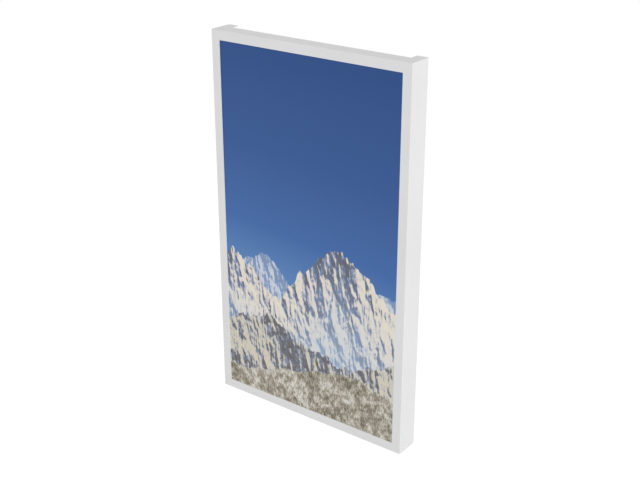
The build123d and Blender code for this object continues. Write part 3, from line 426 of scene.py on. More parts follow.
@dataclass(frozen=True)
class MouldedPlastic(Finish):
    """Moulded plastic with the fine spark-eroded grain of its tool."""

    grain: float = 1400.0
    depth: float = 0.00005
    gloss: float = 0.14

    def paint(self, graph: Graph) -> None:
        """Small pits over soft gloss changes.

        Args:
            graph: the finish's graph.
        """
        vector = graph.place()
        pits = graph.cells(vector, self.grain, feature="SMOOTH_F1")
        soft = graph.noise(vector, scale=40.0, detail=3.0)
        graph.surface(
            Base_Color=self.patches(graph, vector, scale=25.0, loss=0.12),
            Roughness=self.roughness + soft.swing(self.gloss),
            Normal=graph.bump(pits, strength=0.3, depth=self.depth),
        )


@dataclass(frozen=True)
class OpenFoam(Finish):
    """Foam, soft rubber or sleeving: matte, with pores darkened by painted shade."""

    pore: float = 1800.0
    # The share of its lightness that the colour keeps in the pores' painted shade.
    painted_pore_shade: float = 0.5
    gloss: float = 0.08

    def paint(self, graph: Graph) -> None:
        """Pores darkened with painted shade in a dull ground, and sunk by a bump.

        Args:
            graph: the finish's graph.
        """
        pores = graph.cells(graph.place(), self.pore)
        # Painted shade: the sunk centres of the pores take a darker copy of the colour.
        share = pores.rise(low=0.1, high=0.5)
        graph.surface(
            Base_Color=graph.mix(darker(self.colour, self.painted_pore_shade), self.colour, share),
            Roughness=self.roughness + pores.swing(self.gloss),
            Normal=graph.bump(pores, strength=0.4, depth=0.0002),
        )


@dataclass(frozen=True)
class SolderMask(Finish):
    """A circuit board: lacquer over copper runs, with bright pads."""

    pitch: float = 0.0018
    pads: float = 360.0
    copper: Colour = linear(38, 120, 74)
    tin: Colour = linear(186, 184, 172)
    gloss: float = 0.12
    run_height: float = 0.5
    tin_metal: float = 0.8

    def paint(self, graph: Graph) -> None:
        """Runs as bent bands, pads as dots at random places.

        Args:
            graph: the finish's graph.
        """
        x, _, z = graph.split(graph.place())
        flat = graph.vector(x, z)
        bend = graph.noise(flat, scale=55.0, detail=0.0)
        band = ((x + z * bend.rise(low=0.49, high=0.51)) / self.pitch).fraction()
        routed = graph.noise(flat, scale=30.0, detail=0.0).rise(low=0.42, high=0.5)
        run = abs(band - HALF).rise(low=0.2, high=0.28) * routed
        dots = graph.cells(flat, self.pads, voronoi_dimensions="2D")
        pad = 1.0 - dots.rise(low=0.13, high=0.17)
        graph.surface(
            Base_Color=graph.mix(graph.mix(self.colour, self.copper, run), self.tin, pad),
            Roughness=self.roughness + bend.swing(self.gloss),
            Metallic=pad * self.tin_metal,
            Normal=graph.bump(run * self.run_height + pad, strength=0.3, depth=0.00004),
        )


@dataclass(frozen=True)
class FlatCable(Finish):
    """A laminated flat cable with its conductors showing through."""

    pitch: float = 0.001
    core: Colour = linear(158, 160, 160)
    core_share: float = 0.7
    gloss: float = 0.1

    def paint(self, graph: Graph) -> None:
        """Fine stripes along the cable.

        Args:
            graph: the finish's graph.
        """
        vector = graph.place()
        across = graph.split(vector)[0]
        stripe = abs((across / self.pitch).fraction() - HALF).rise(low=0.18, high=0.3)
        graph.surface(
            Base_Color=graph.mix(self.colour, self.core, stripe * self.core_share),
            Roughness=self.roughness + graph.noise(vector, scale=90.0).swing(self.gloss),
            Normal=graph.bump(stripe, strength=0.25, depth=0.00008),
        )


class Spot(NamedTuple):
    """A place in the picture: across it from -1 to 1, and up it from 0 to 1."""

    across: Term
    height: Term


@dataclass(frozen=True)
class Speckle:
    """A flat noise field of the picture, squeezed across and up, that leans with the height."""

    scale: float
    detail: float
    roughness: float
    across: float = 1.0
    up: float = 1.0
    lean: float = 0.0

    def read(self, graph: Graph, spot: Spot, shift: tuple[float, float] = (0.0, 0.0),
             grain: float = 1.0) -> Term:
        """Reads the field at a place.

        Args:
            graph: the picture's graph.
            spot: the place.
            shift: how far the field is moved, across and up.
            grain: how many times finer it is than by itself.

        Returns:
            The field's value, from 0 to 1.
        """
        x = spot.across * self.across + spot.height * self.lean + shift[0]
        vector = graph.vector(x, spot.height * self.up + shift[1])
        scale = self.scale * grain
        return graph.noise(vector, scale, self.detail, self.roughness, noise_dimensions="2D")


@dataclass(frozen=True)
class Ridge:
    """One line of snowy hills in the picture.

    A peak is its place across, its height and the fall of its two sides.
    """

    peaks: tuple[Triple, ...]
    ragged: float
    grain: float
    seed: float
    lit: Colour
    shaded: Colour
    rock: Colour
    rock_share: float
    haze: float
    mist: Colour = linear(176, 198, 224)
    light_step: tuple[float, float] = (0.018, 0.0108)
    crease_light: float = 8.0
    face_light: float = 1.3
    dusk: float = 0.15
    crag_shade: float = 0.5
    snow_grit: float = 0.55
    stone_grit: float = 0.6
    teeth: Speckle = Speckle(scale=3.0, detail=9.0, roughness=0.6, up=0.0)
    creases: Speckle = Speckle(scale=1.0, detail=9.0, roughness=0.58, up=1.25, lean=0.5)
    faces: Speckle = Speckle(scale=0.45, detail=3.0, roughness=0.5, up=1.4, lean=1.0)
    steeps: Speckle = Speckle(scale=3.0, detail=8.0, roughness=0.72, up=2.6)
    grit: Speckle = Speckle(scale=4.0, detail=9.0, roughness=0.75, across=1.7, up=2.4)

    def lay(self, graph: Graph, spot: Spot, behind: Term) -> Term:
        """Lays the hills over what is behind them.

        Args:
            graph: the picture's graph.
            spot: the place in the picture.
            behind: the picture so far.

        Returns:
            The picture with the hills.
        """
        teeth = self.teeth.read(graph, spot, (self.seed, self.seed))
        below = self._line(spot) + teeth.swing(self.ragged) - spot.height
        light = self._light(graph, spot)
        steep = self.steeps.read(graph, spot, (self.seed, 0.0), self.grain)
        grit = self.grit.read(graph, spot, (self.seed, 0.0), self.grain)
        snow = graph.mix(self.shaded, self.lit, light.rise(low=0.3, high=0.72))
        snow = graph.mix(snow, self.shaded, grit.rise(low=0.5, high=0.72) * self.snow_grit)
        dusting = grit.rise(low=0.42, high=0.68) * self.stone_grit
        stone = graph.mix(self.rock, self.shaded, dusting)
        crags = (steep - light.swing(self.crag_shade)).rise(low=0.51, high=0.66)
        slopes = graph.mix(snow, stone, crags * self.rock_share)
        slopes = graph.mix(slopes, self.mist, below.rise(low=0.0, high=0.34) * self.haze)
        return graph.mix(behind, slopes, below.rise(low=-0.001, high=0.0015))

    def _line(self, spot: Spot) -> Term:
        """The hills' line, without its teeth.

        Args:
            spot: the place in the picture.

        Returns:
            The line's height there.
        """
        slopes = [top - abs(spot.across - place) * fall for place, top, fall in self.peaks]
        line = slopes[0]
        for slope in slopes[1:]:
            line = line.largest(slope)
        return line

    def _light(self, graph: Graph, spot: Spot) -> Term:
        """The light on the slopes, from the upper right.

        Args:
            graph: the picture's graph.
            spot: the place in the picture.

        Returns:
            The light there, about 0.5 on level ground.
        """
        levels = []
        for across, up in ((0.0, 0.0), self.light_step):
            shift = (self.seed + across, self.seed + up)
            levels.append(abs(self.creases.read(graph, spot, shift, self.grain) - HALF))
        faces = self.faces.read(graph, spot, (self.seed, 0.0), self.grain)
        return (levels[0] - levels[1]) * self.crease_light + faces * self.face_light - self.dusk


@dataclass(frozen=True)
class Heath:
    """The frosted grass and heather along the picture's lower edge."""

    level: float = 0.03
    tilt: float = 0.03
    swell: float = 0.16
    swell_seed: float = 7.3
    fringe: float = 0.02
    blade_tone: float = 0.7
    tuft_tone: float = 0.9
    hollow_tone: float = 0.5
    dimmed: float = 0.55
    swells: Speckle = Speckle(scale=0.9, detail=3.0, roughness=0.5, up=0.0)
    blades: Speckle = Speckle(scale=34.0, detail=4.0, roughness=0.7, across=3.0, up=2.2)
    tufts: Speckle = Speckle(scale=9.0, detail=9.0, roughness=0.72, across=1.6, up=5.0)
    hollows: Speckle = Speckle(scale=2.2, detail=3.0, roughness=0.5, up=4.0, lean=1.0)
    tones: Stops = (
        (0.22, linear(78, 72, 62)),
        (0.4, linear(126, 119, 104)),
        (0.54, linear(170, 164, 150)),
        (0.66, linear(206, 203, 196)),
        (1.0, linear(226, 227, 229)),
    )

    def lay(self, graph: Graph, spot: Spot, behind: Term) -> Term:
        """Lays the heath over what is behind it.

        Args:
            graph: the picture's graph.
            spot: the place in the picture.
            behind: the picture so far.

        Returns:
            The picture with the heath.
        """
        swells = self.swells.read(graph, spot, (0.0, self.swell_seed))
        blades = self.blades.read(graph, spot)
        tufts = self.tufts.read(graph, spot) * self.tuft_tone
        hollows = self.hollows.read(graph, spot) * self.hollow_tone
        line = swells * self.swell + spot.across * self.tilt + self.level
        below = line + blades.swing(self.fringe) - spot.height
        tone = tufts + blades * self.blade_tone + hollows - self.dimmed
        return graph.mix(behind, graph.ramp(tone, self.tones), below.rise(low=0.0, high=0.003))


@dataclass(frozen=True)
class LitPicture(Finish):
    """The lit panel. Its picture is a made-up winter range under a deep blue sky."""

    half_width: float = 0.2647
    half_height: float = 0.4706
    sky_tilt: float = 0.03
    sky: Stops = (
        (0.0, linear(140, 174, 208)),
        (0.3, linear(97, 138, 188)),
        (0.5, linear(66, 103, 161)),
        (0.72, linear(56, 88, 144)),
        (1.0, linear(46, 77, 131)),
    )
    ridges: tuple[Ridge, ...] = (
        Ridge(
            peaks=((0.78, 0.44, 0.15), (0.1, 0.37, 0.1), (-0.55, 0.42, 0.13)),
            ragged=0.1, grain=4.0, seed=3.1, rock_share=0.4, haze=0.45,
            lit=linear(196, 203, 214), shaded=linear(120, 144, 184), rock=linear(132, 144, 168),
        ),
        Ridge(
            peaks=((0.4, 0.53, 0.27), (-0.2, 0.34, 0.16), (-0.92, 0.43, 0.25)),
            ragged=0.15, grain=3.2, seed=17.7, rock_share=0.8, haze=0.45,
            lit=linear(222, 214, 200), shaded=linear(112, 130, 166), rock=linear(92, 87, 86),
        ),
        Ridge(
            peaks=((-0.5, 0.25, 0.11), (0.98, 0.24, 0.13)),
            ragged=0.12, grain=4.6, seed=41.3, rock_share=0.85, haze=0.0,
            lit=linear(204, 197, 182), shaded=linear(120, 132, 156), rock=linear(98, 90, 80),
        ),
    )
    heath: Heath = Heath()

    def paint(self, graph: Graph) -> None:
        """The sky, the ridges from the far one to the near one, and the heath in front.

        Args:
            graph: the finish's graph.
        """
        x, _, z = graph.split(graph.place())
        spot = Spot(x / self.half_width, z / (2 * self.half_height) + HALF)
        picture = graph.ramp(spot.height + spot.across * self.sky_tilt, self.sky)
        for layer in (*self.ridges, self.heath):
            picture = layer.lay(graph, spot, picture)
        graph.surface(
            Base_Color=self.colour,
            Roughness=self.roughness,
            Specular_IOR_Level=0.1,
            Emission_Color=picture,
            Emission_Strength=1.0,
        )


@dataclass(frozen=True)
class StudioFloor(Finish):
    """A pale floor that the camera sees as white, with what shadow falls on it."""

    share: float = 0.86
    lift: float = 1.1

    def paint(self, graph: Graph) -> None:
        """Matte paint, lifted to white for what looks straight at it or reflects it.

        Args:
            graph: the finish's graph.
        """
        seen = graph.looked_at() * self.share
        matte = graph.node("ShaderNodeBsdfDiffuse", inputs={"Color": self.colour})
        white = graph.node("ShaderNodeEmission", inputs={"Color": WHITE, "Strength": self.lift})
        mixed = graph.node("ShaderNodeMixShader", inputs={0: seen, 1: matte, 2: white})
        graph.node("ShaderNodeOutputMaterial", inputs={"Surface": mixed})


WHITE_COAT = PowderCoat("white_powder_coat", linear(238, 238, 239), 0.55)
BLACK_COAT = PowderCoat("black_powder_coat", linear(34, 34, 36), 0.5)
ZINC = ZincSheet("galvanised_sheet", linear(190, 192, 195), 0.4)
FASTENER = StreakedSurface("zinc_fastener", linear(204, 202, 196), 0.3)
ALUMINIUM = StreakedSurface(
    "extruded_aluminium", linear(214, 215, 217), 0.34, along=(900.0, 900.0, 40.0)
)
NICKEL = StreakedSurface("socket_nickel", linear(202, 203, 205), 0.25)
BRASS = StreakedSurface("turned_brass", linear(214, 184, 120), 0.28)
FOAM = OpenFoam("gasket_foam", linear(30, 30, 31), 0.9)
RUBBER = OpenFoam("bumper_rubber", linear(44, 44, 45), 0.8, pore=900.0)
LEAD = OpenFoam("lead_sleeve", linear(48, 48, 50), 0.6, pore=2400.0)
BLACK_PLASTIC = MouldedPlastic("black_plastic", linear(36, 36, 38), 0.55)
KEY_PLASTIC = MouldedPlastic("key_plastic", linear(52, 52, 54), 0.4, grain=2200.0, depth=0.00003)
SOCKET_PLASTIC = MouldedPlastic(
    "socket_plastic", linear(22, 22, 23), 0.4, grain=2200.0, depth=0.00003
)
CERAMIC = MouldedPlastic(
    "capacitor_ceramic", linear(168, 140, 104), 0.45, grain=2600.0, depth=0.00002
)
FERRITE = MouldedPlastic("ferrite", linear(58, 58, 60), 0.6, grain=2600.0, depth=0.00004)
AMBER_FILM = FlatCable(
    "driver_film", linear(150, 96, 34), 0.35, pitch=0.0006, core=linear(112, 70, 26)
)
WHITE_CABLE = FlatCable("flat_cable", linear(226, 227, 226), 0.4)
BOARD = SolderMask("circuit_board", linear(16, 82, 50), 0.38)
OPAL = StreakedSurface(
    "opal_sheet", linear(238, 238, 236), 0.5, along=(30.0, 1.0, 900.0), detail=1.0, gloss=0.1,
    metal=0.0, patch=12.0, patch_loss=0.04,
)
PICTURE = LitPicture("lit_picture", linear(8, 9, 11), 0.32)
FLOOR = StudioFloor("studio_floor", linear(240, 240, 240), 1.0)

FINISHED_NODES: dict[Finish, tuple[str, ...]] = {
    WHITE_COAT: (
        "casing_shell", "casing_hook_upper_left", "casing_hook_upper_right",
        "casing_hook_lower_left", "casing_hook_lower_right",
    ),
    BLACK_COAT: ("vesa_arm_left", "vesa_arm_right", "display_bezel"),
    ZINC: (
        "wall_rail_upper", "wall_rail_lower", "frame_upright_left", "frame_upright_right",
        "backlight_tray",
    ),
    FASTENER: (
        "vesa_screws", "safety_screws", "bezel_screws", "cover_screws", "board_screws",
        "vesa_bosses",
    ),
    ALUMINIUM: (
        "frame_rivets", "led_strips", "soc_heatsink", "power_capacitors", "power_heatsink",
    ),
    NICKEL: ("io_ports", "io_plate"),
    BRASS: ("board_standoffs", "inlet_pins"),
    FOAM: ("window_gasket",),
    RUBBER: ("wall_bumpers",),
    LEAD: ("power_harness",),
    BLACK_PLASTIC: (
        "mid_frame", "speaker_left", "speaker_right", "electronics_cover", "key_housing",
    ),
    KEY_PLASTIC: ("mains_rocker", "power_key"),
    SOCKET_PLASTIC: ("ac_inlet", "switch_housing"),
    FERRITE: ("power_transformer",),
    WHITE_CABLE: ("panel_ribbon", "signal_ribbon"),
    BOARD: ("source_board", "tcon_board", "main_board", "power_board", "key_board"),
    OPAL: ("optical_films", "diffuser_plate", "reflector_sheet"),
    PICTURE: ("lcd_cell",),
}


def islands(node: str) -> list[Corners]:
    """Finds the separate solids of a CAD node.

    Args:
        node: the node's name.

    Returns:
        The lowest and highest corner of each solid.
    """
    mesh = bmesh.new()
    mesh.from_mesh(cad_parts[node].data)
    bmesh.ops.remove_doubles(mesh, verts=mesh.verts, dist=MERGE_DISTANCE)
    left = set(mesh.verts)
    found = []
    while left:
        todo = [left.pop()]
        group = []
        while todo:
            vert = todo.pop()
            group.append(vert.co.copy())
            near = {edge.other_vert(vert) for edge in vert.link_edges} & left
            left -= near
            todo.extend(near)
        low = Vector(min(co[i] for co in group) for i in range(3))
        high = Vector(max(co[i] for co in group) for i in range(3))
        found.append((low, high))
    mesh.free()
    return sorted(found, key=lambda box: tuple(box[0]))


def middle(corners: Corners) -> Vector:
    """The centre of a box."""
    return (corners[0] + corners[1]) / 2


def main_axis(facing: Vector) -> int:
    """The number of the axis that a direction follows most."""
    return max(range(3), key=lambda i: abs(facing[i]))


def round_size(corners: Corners, axis: int) -> tuple[float, float]:
    """The largest radius and the length of a round solid along an axis, from its box."""
    size = corners[1] - corners[0]
    return max(size[i] for i in range(3) if i != axis) / 2, size[axis]


def spread(count: int, reach: float) -> list[float]:
    """Evenly spaced places from -reach to reach."""
    return [-reach + 2 * reach * i / (count - 1) for i in range(count)]


def bevel_edges(mesh: bmesh.types.BMesh, edges: list, width: float, segments: int = 2) -> None:
    """Rounds edges of a mesh.

    Args:
        mesh: the mesh.
        edges: its edges to round.
        width: how far the rounding reaches from an edge.
        segments: how many faces it has.
    """
    bmesh.ops.bevel(
        mesh, geom=edges, offset=width, offset_type="OFFSET", affect="EDGES", segments=segments,
        profile=0.5, material=-1,
    )


def add_block(mesh: bmesh.types.BMesh, low: Vector, high: Vector, bevel: float) -> None:
    """Adds a box with rounded edges.

    Args:
        mesh: the mesh that it goes into.
        low: its lowest corner.
        high: its highest corner.
        bevel: the width of its rounded edges.
    """
    matrix = Matrix.Translation(middle((low, high))) @ Matrix.Diagonal((*(high - low), 1.0))
    made = bmesh.ops.create_cube(mesh, size=1.0, matrix=matrix)
    edges = list({edge for vert in made["verts"] for edge in vert.link_edges})
    bevel_edges(mesh, edges, bevel)


def add_part(mesh: bmesh.types.BMesh, part: bmesh.types.BMesh, seat: Vector,
             facing: Vector) -> None:
    """Adds a part that was made upright at the origin.

    Args:
        mesh: the mesh that it goes into.
        part: the part, which is freed.
        seat: where its origin goes.
        facing: where its upright axis points.
    """
    turn = UP.rotation_difference(facing).to_matrix().to_4x4()
    bmesh.ops.transform(part, matrix=Matrix.Translation(seat) @ turn, verts=part.verts)
    data = bpy.data.meshes.new("part")
    part.to_mesh(data)
    part.free()
    mesh.from_mesh(data)
    bpy.data.meshes.remove(data)


def finish_piece(name: str, mesh: bmesh.types.BMesh, finish: Finish, body: Body) -> bpy.types.Object:
    """Turns a bmesh into a piece of the photo frame.

    Args:
        name: the piece's name.
        mesh: its shape, in the CAD model's frame, which is freed.
        finish: what it is made of.
        body: the CAD body that it rides on.

    Returns:
        The new object.
    """
    bmesh.ops.recalc_face_normals(mesh, faces=mesh.faces)
    data = bpy.data.meshes.new(name)
    mesh.to_mesh(data)
    mesh.free()
    piece = bpy.data.objects.new(name, data)
    bpy.context.scene.collection.objects.link(piece)
    data.materials.append(finish.material())
    data.shade_smooth()
    data.set_sharp_from_angle(angle=SMOOTH_ANGLE)
    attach(piece, body.value)
    LOG.info("piece %s rides on %s", name, body.value)
    return piece


class Drive(Enum):
    """The recess in a screw's head, by the angle at which its outline repeats."""

    HEX = math.radians(60)
    CROSS = math.radians(90)

    def radius(self, angle: float, size: float) -> float:
        """How far the recess reaches at an angle.

        Args:
            angle: the angle about the screw's axis, in radians.
            size: the recess's outer radius.

        Returns:
            The distance from the axis.
        """
        half = self.value / 2
        if self is Drive.HEX:
            return size * math.cos(half) / math.cos(angle % self.value - half)
        beside = abs((angle + half) % self.value - half)
        if math.tan(beside) <= CROSS_ARM:
            return size / math.cos(beside)
        return size * CROSS_ARM / math.sin(beside)


@dataclass
class Screws:
    """A group of screws with real heads, in the places of a CAD node's solids.

    head_share, land_share and shoulder_share are shares of the head's radius, rim and recess_depth
    of its height, and head_most of the screw's length. The sides are a multiple of 24, so that one
    of the head's corners lies at each corner of either recess.
    """

    node: str
    drive: Drive
    facing: Vector
    recess: float
    finish: Finish = FASTENER
    sides: int = 48
    head_share: float = 0.58
    head_most: float = 0.5
    rim: float = 0.3
    rim_steps: int = 3
    land_share: float = 0.3
    recess_depth: float = 0.55
    shoulder_share: float = 0.45

    def build(self) -> None:
        """Makes every screw of the group, as one piece that stands for the node."""
        mesh = bmesh.new()
        for corners in islands(self.node):
            self._screw(mesh, corners)
        name = f"{self.node}_detailed"
        piece = finish_piece(name, mesh, self.finish, Body.DISPLAY)
        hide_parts(self.node)

    def _screw(self, mesh: bmesh.types.BMesh, corners: Corners) -> None:
        """Adds one screw: head, rounded rim, recess and shank.

        Args:
            mesh: the mesh that it goes into.
            corners: the box of its CAD solid.
        """
        axis = main_axis(self.facing)
        radius, length = round_size(corners, axis)
        head = min(radius * self.head_share, length * self.head_most)
        part = bmesh.new()
        bmesh.ops.create_cone(
            part, cap_ends=True, segments=self.sides, radius1=radius, radius2=radius, depth=head,
            matrix=Matrix.Translation((0, 0, head / 2)),
        )
        bevel_edges(part, list(self._cap(part, max).edges), head * self.rim, self.rim_steps)
        self._inset(part, self._cap(part, max), radius * self.land_share)
        recess = self._cap(part, max)
        for vert in recess.verts:
            angle = math.atan2(vert.co.y, vert.co.x)
            reach = self.drive.radius(angle, self.recess)
            vert.co.x, vert.co.y = reach * math.cos(angle), reach * math.sin(angle)
        self._push(part, recess, -head * self.recess_depth)
        self._inset(part, self._cap(part, min), radius * self.shoulder_share)
        self._push(part, self._cap(part, min), head - length)
        seat = middle(corners)
        outer = corners[1] if self.facing[axis] > 0 else corners[0]
        seat[axis] = outer[axis] - head * self.facing[axis]
        add_part(mesh, part, seat, self.facing)

    @staticmethod
    def _cap(part: bmesh.types.BMesh, pick: Callable) -> bmesh.types.BMFace:
        """The highest or the lowest many-sided face of a screw."""
        caps = (face for face in part.faces if len(face.verts) > QUAD_CORNERS)
        return pick(caps, key=lambda face: face.calc_center_median().z)

    @staticmethod
    def _inset(part: bmesh.types.BMesh, face: bmesh.types.BMFace, width: float) -> None:
        """Sets a smaller face into a flat face."""
        bmesh.ops.inset_region(part, faces=[face], thickness=width, use_even_offset=True)

    @staticmethod
    def _push(part: bmesh.types.BMesh, face: bmesh.types.BMFace, distance: float) -> None:
        """Extrudes a flat face along the screw's axis."""
        made = bmesh.ops.extrude_discrete_faces(part, faces=[face])["faces"]
        bmesh.ops.translate(part, verts=made[0].verts, vec=(0, 0, distance))


PAD_PROFILE: Profile = (
    (0.0, 0.0), (1.0, 0.0), (1.0, 0.35), (0.95, 0.62), (0.8, 0.84), (0.55, 0.96), (0.0, 1.0),
)
RIVET_PROFILE: Profile = (
    (0.0, 0.0), (0.53, 0.0), (0.53, 0.714), (0.97, 0.714), (1.0, 0.745), (0.93, 0.85),
    (0.7, 0.94), (0.36, 0.988), (0.0, 1.0),
)


@dataclass
class TurnedPads:
    """Round pieces with a rounded profile, in the places of a CAD node's solids.

    A point of the profile is a share of the piece's radius and a share of its length.
    """

    node: str
    finish: Finish
    body: Body
    slot: Slot
    facing: Vector
    profile: Profile
    mirrored: bool = False
    steps: int = 28

    def build(self) -> None:
        """Turns every piece of the group, as one piece that stands for the node."""
        mesh = bmesh.new()
        for corners in islands(self.node):
            self._turn(mesh, corners)
        piece = finish_piece(f"{self.node}_turned", mesh, self.finish, self.body)
        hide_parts(self.node)

    def _turn(self, mesh: bmesh.types.BMesh, corners: Corners) -> None:
        """Adds one piece. In a mirrored group, those above the middle point the other way.

        Args:
            mesh: the mesh that it goes into.
            corners: the box of its CAD solid.
        """
        seat = middle(corners)
        facing = -self.facing if self.mirrored and seat.z > 0 else self.facing
        axis = main_axis(facing)
        radius, length = round_size(corners, axis)
        part = bmesh.new()
        verts = [part.verts.new((out * radius, 0.0, up * length)) for out, up in self.profile]
        edges = [part.edges.new(pair) for pair in zip(verts, verts[1:])]
        bmesh.ops.spin(
            part, geom=verts + edges, cent=(0, 0, 0), axis=UP, angle=math.tau, steps=self.steps,
            use_merge=True,
        )
        bmesh.ops.remove_doubles(part, verts=part.verts, dist=MERGE_DISTANCE)
        foot = corners[0] if facing[axis] > 0 else corners[1]
        seat[axis] = foot[axis]
        add_part(mesh, part, seat, facing)


@dataclass(frozen=True)
class PartRow:
    """A row of equal small parts on a board, and its place from the lower edge to the upper."""

    name: str
    finish: Finish
    slot: Slot
    count: int
    size: Triple
    place: float


@dataclass
class DriverBoardParts:
    """The small parts soldered along the driver board, clear of the ribbon's socket."""

    board: float = 0.0012
    edge: float = 0.03
    socket: float = 0.03
    bevel_share: float = 0.15
    rows: tuple[PartRow, ...] = (
        PartRow(
            "driver_board_capacitors", CERAMIC, Slot.FERRITE,
            count=26, size=(0.0032, 0.0011, 0.0016), place=0.27,
        ),
        PartRow(
            "driver_board_chips", SOCKET_PLASTIC, Slot.BLACK_PLASTIC,
            count=5, size=(0.0105, 0.0014, 0.0055), place=0.64,
        ),
    )

    def build(self) -> None:
        """Makes the rows, each as one piece."""
        for row in self.rows:
            finish_piece(row.name, self._row(row), row.finish, Body.DISPLAY)

    def _row(self, row: PartRow) -> bmesh.types.BMesh:
        """Makes one row, without the parts that would stand at the socket.

        Args:
            row: the row.

        Returns:
            The row's mesh.
        """
        low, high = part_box("source_board")
        size = Vector(row.size)
        y = low[1] + self.board + size.y / 2
        z = low[2] + (high[2] - low[2]) * row.place
        mesh = bmesh.new()
        for x in spread(row.count, high[0] - self.edge):
            if abs(x) >= self.socket:
                centre = Vector((x, y, z))
                bevel = size.y * self.bevel_share
                add_block(mesh, centre - size / 2, centre + size / 2, bevel)
        return mesh


@dataclass
class DriverFilms:
    """The amber films that lead from the driver board over the tray's top edge to the panel."""

    count: int = 6
    width: float = 0.038
    thickness: float = 0.00015
    lift: float = 0.00045
    overlap: float = 0.0005
    drop: float = 0.00076
    forward: float = 0.008
    fold: float = 0.0012
    fold_steps: int = 4
    chip: Triple = (0.016, 0.0008, 0.0022)
    chip_bevel: float = 0.0002

    def build(self) -> None:
        """Makes the films and their driver chips, as two pieces."""
        low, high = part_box("source_board")
        tray_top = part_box("backlight_tray")[1][2]
        skirt_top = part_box("mid_frame")[1][2]
        rear = low[1] + self.lift
        top = (tray_top + skirt_top) / 2 - self.drop
        route = ((rear, high[2] - self.overlap), (rear, top), (low[1] - self.forward, top))
        half = Vector((self.chip[0] / 2, 0, self.chip[2] / 2))
        depth = Vector((0, self.chip[1], 0))
        films = bmesh.new()
        chips = bmesh.new()
        for x in spread(self.count, (high[0] - low[0]) / 2 - self.width):
            self._film(films, x, route)
            seat = Vector((x, rear, (high[2] + top) / 2))
            add_block(chips, seat - half, seat + half + depth, self.chip_bevel)
        bmesh.ops.solidify(films, geom=films.faces[:], thickness=self.thickness)
        finish_piece("driver_films", films, AMBER_FILM, Body.DISPLAY)
        finish_piece("driver_chips", chips, SOCKET_PLASTIC, Body.DISPLAY)

    def _film(self, mesh: bmesh.types.BMesh, x: float, route: Profile) -> None:
        """Adds one film, as a sheet with rounded folds.

        Args:
            mesh: the mesh that it goes into.
            x: the middle of its width.
            route: the y and z of its ends and folds.
        """
        left = [mesh.verts.new((x - self.width / 2, y, z)) for y, z in route]
        edges = [mesh.edges.new(pair) for pair in zip(left, left[1:])]
        made = bmesh.ops.extrude_edge_only(mesh, edges=edges)["geom"]
        verts = [item for item in made if isinstance(item, bmesh.types.BMVert)]
        bmesh.ops.translate(mesh, verts=verts, vec=(self.width, 0, 0))
        faces = [item for item in made if isinstance(item, bmesh.types.BMFace)]
        folds = {edge for face in faces for edge in face.edges if len(edge.link_faces) == 2}
        bevel_edges(mesh, list(folds), self.fold, self.fold_steps)


@dataclass
class SocketTongues:
    """The plastic tongues inside the sockets on the main board's lower edge."""

    width_share: float = 0.62
    height: float = 0.0012
    height_share: float = 0.2
    depth: float = 0.009
    set_back: float = 0.0008
    bevel_share: float = 0.2

    def build(self) -> None:
        """Makes one tongue for each socket, as one piece."""
        mesh = bmesh.new()
        for low, high in islands("io_ports"):
            centre = middle((low, high))
            half = (high.x - low.x) * self.width_share / 2
            thick = min(self.height, (high.y - low.y) * self.height_share)
            top = high.z - self.set_back
            start = Vector((centre.x - half, centre.y - thick / 2, top - self.depth))
            end = Vector((centre.x + half, centre.y + thick / 2, top))
            add_block(mesh, start, end, thick * self.bevel_share)
        finish_piece("socket_tongues", mesh, SOCKET_PLASTIC, Body.DISPLAY)


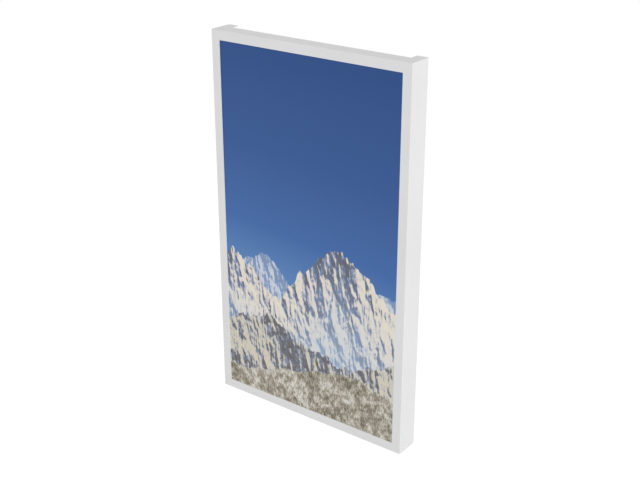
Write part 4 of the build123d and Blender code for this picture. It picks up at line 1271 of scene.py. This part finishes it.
@dataclass
class Studio:
    """The floor, the lamp, the world and the camera at the photograph's viewing angle."""

    azimuth: float = 36.73
    elevation: float = 23.04
    distance: float = 2.686
    side_step: float = 0.0325
    rise: float = 0.0108
    lens: float = 61.82
    sensor: float = 36.0
    floor_drop: float = 2.4
    floor_reach: float = 6.0
    ambient: float = 0.84
    zenith_drop: float = 0.32
    sun: float = 0.81
    sun_from: Triple = (0.93, -0.35, 0.1)
    sun_spread: float = 40.0

    def build(self) -> None:
        """Makes the whole studio round the object."""
        self._camera()
        self._world()
        self._floor()
        self._lamp()

    def _camera(self) -> None:
        """Puts the camera on its line of sight to the middle of the casing's front."""
        turn = math.radians(self.azimuth)
        tilt = math.radians(self.elevation)
        level = Vector((math.sin(turn), -math.cos(turn), 0.0))
        back = level * math.cos(tilt) + UP * math.sin(tilt)
        right = Vector((math.cos(turn), math.sin(turn), 0.0))
        up = back.cross(right)
        front = Vector((0.0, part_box("casing_shell")[0][1], 0.0))
        data = bpy.data.cameras.new("camera")
        data.lens = self.lens
        data.sensor_width = self.sensor
        camera = bpy.data.objects.new("camera", data)
        camera.location = front + back * self.distance + right * self.side_step + up * self.rise
        camera.rotation_euler = Matrix((right, up, back)).transposed().to_euler()
        bpy.context.scene.collection.objects.link(camera)
        bpy.context.scene.camera = camera

    def _world(self) -> None:
        """Light all round, weaker from above, and white where it is looked at or reflected."""
        world = bpy.data.worlds.new("studio_world")
        world.use_nodes = True
        bpy.context.scene.world = world
        graph = Graph(world.node_tree)
        seen = graph.looked_at()
        direction = graph.node("ShaderNodeTexCoord").other("Generated")
        above = graph.split(direction)[2].largest(0.0)
        soft = self.ambient * (1.0 - above * self.zenith_drop)
        inputs = {"Color": WHITE, "Strength": seen + (1.0 - seen) * soft}
        light = graph.node("ShaderNodeBackground", inputs=inputs)
        graph.node("ShaderNodeOutputWorld", inputs={"Surface": light})

    def _floor(self) -> None:
        """The floor of the room, well below an object that hangs on a wall."""
        mesh = bmesh.new()
        level = Matrix.Translation((0, 0, -self.floor_drop))
        bmesh.ops.create_grid(mesh, x_segments=1, y_segments=1, size=self.floor_reach, matrix=level)
        data = bpy.data.meshes.new("floor")
        mesh.to_mesh(data)
        mesh.free()
        floor = bpy.data.objects.new("floor", data)
        data.materials.append(FLOOR.material())
        bpy.context.scene.collection.objects.link(floor)

    def _lamp(self) -> None:
        """Adds a broad soft light from the right and the front."""
        data = bpy.data.lights.new("soft_light", "SUN")
        data.energy = self.sun
        data.angle = math.radians(self.sun_spread)
        lamp = bpy.data.objects.new("soft_light", data)
        lamp.rotation_euler = (-Vector(self.sun_from)).to_track_quat("-Z", "Y").to_euler()
        bpy.context.scene.collection.objects.link(lamp)


def dress_nodes() -> None:
    """Gives every CAD node its finish."""
    for finish, names in FINISHED_NODES.items():
        for name in names:
            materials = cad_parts[name].data.materials
            materials.clear()
            materials.append(finish.material())
            LOG.info("node %s is %s", name, finish.name)


def main() -> None:
    """Builds the studio, dresses the CAD nodes and adds the finer pieces."""
    logging.basicConfig(level=logging.INFO, format="%(name)s: %(message)s")
    bpy.context.scene.view_settings.view_transform = "Standard"
    Studio().build()
    dress_nodes()
    Screws("vesa_screws", Drive.HEX, BACK, recess=0.0029).build()
    Screws("safety_screws", Drive.HEX, DOWN, recess=0.0022).build()
    Screws("cover_screws", Drive.CROSS, BACK, recess=0.0015).build()
    Screws("bezel_screws", Drive.CROSS, BACK, recess=0.0015).build()
    TurnedPads("wall_bumpers", RUBBER, Body.CASING, Slot.RUBBER, BACK, PAD_PROFILE).build()
    TurnedPads(
        "frame_rivets", ALUMINIUM, Body.DISPLAY, Slot.ALUMINIUM, UP, RIVET_PROFILE, mirrored=True
    ).build()
    DriverFilms().build()
    DriverBoardParts().build()
    SocketTongues().build()


if __name__ == "__main__":
    main()
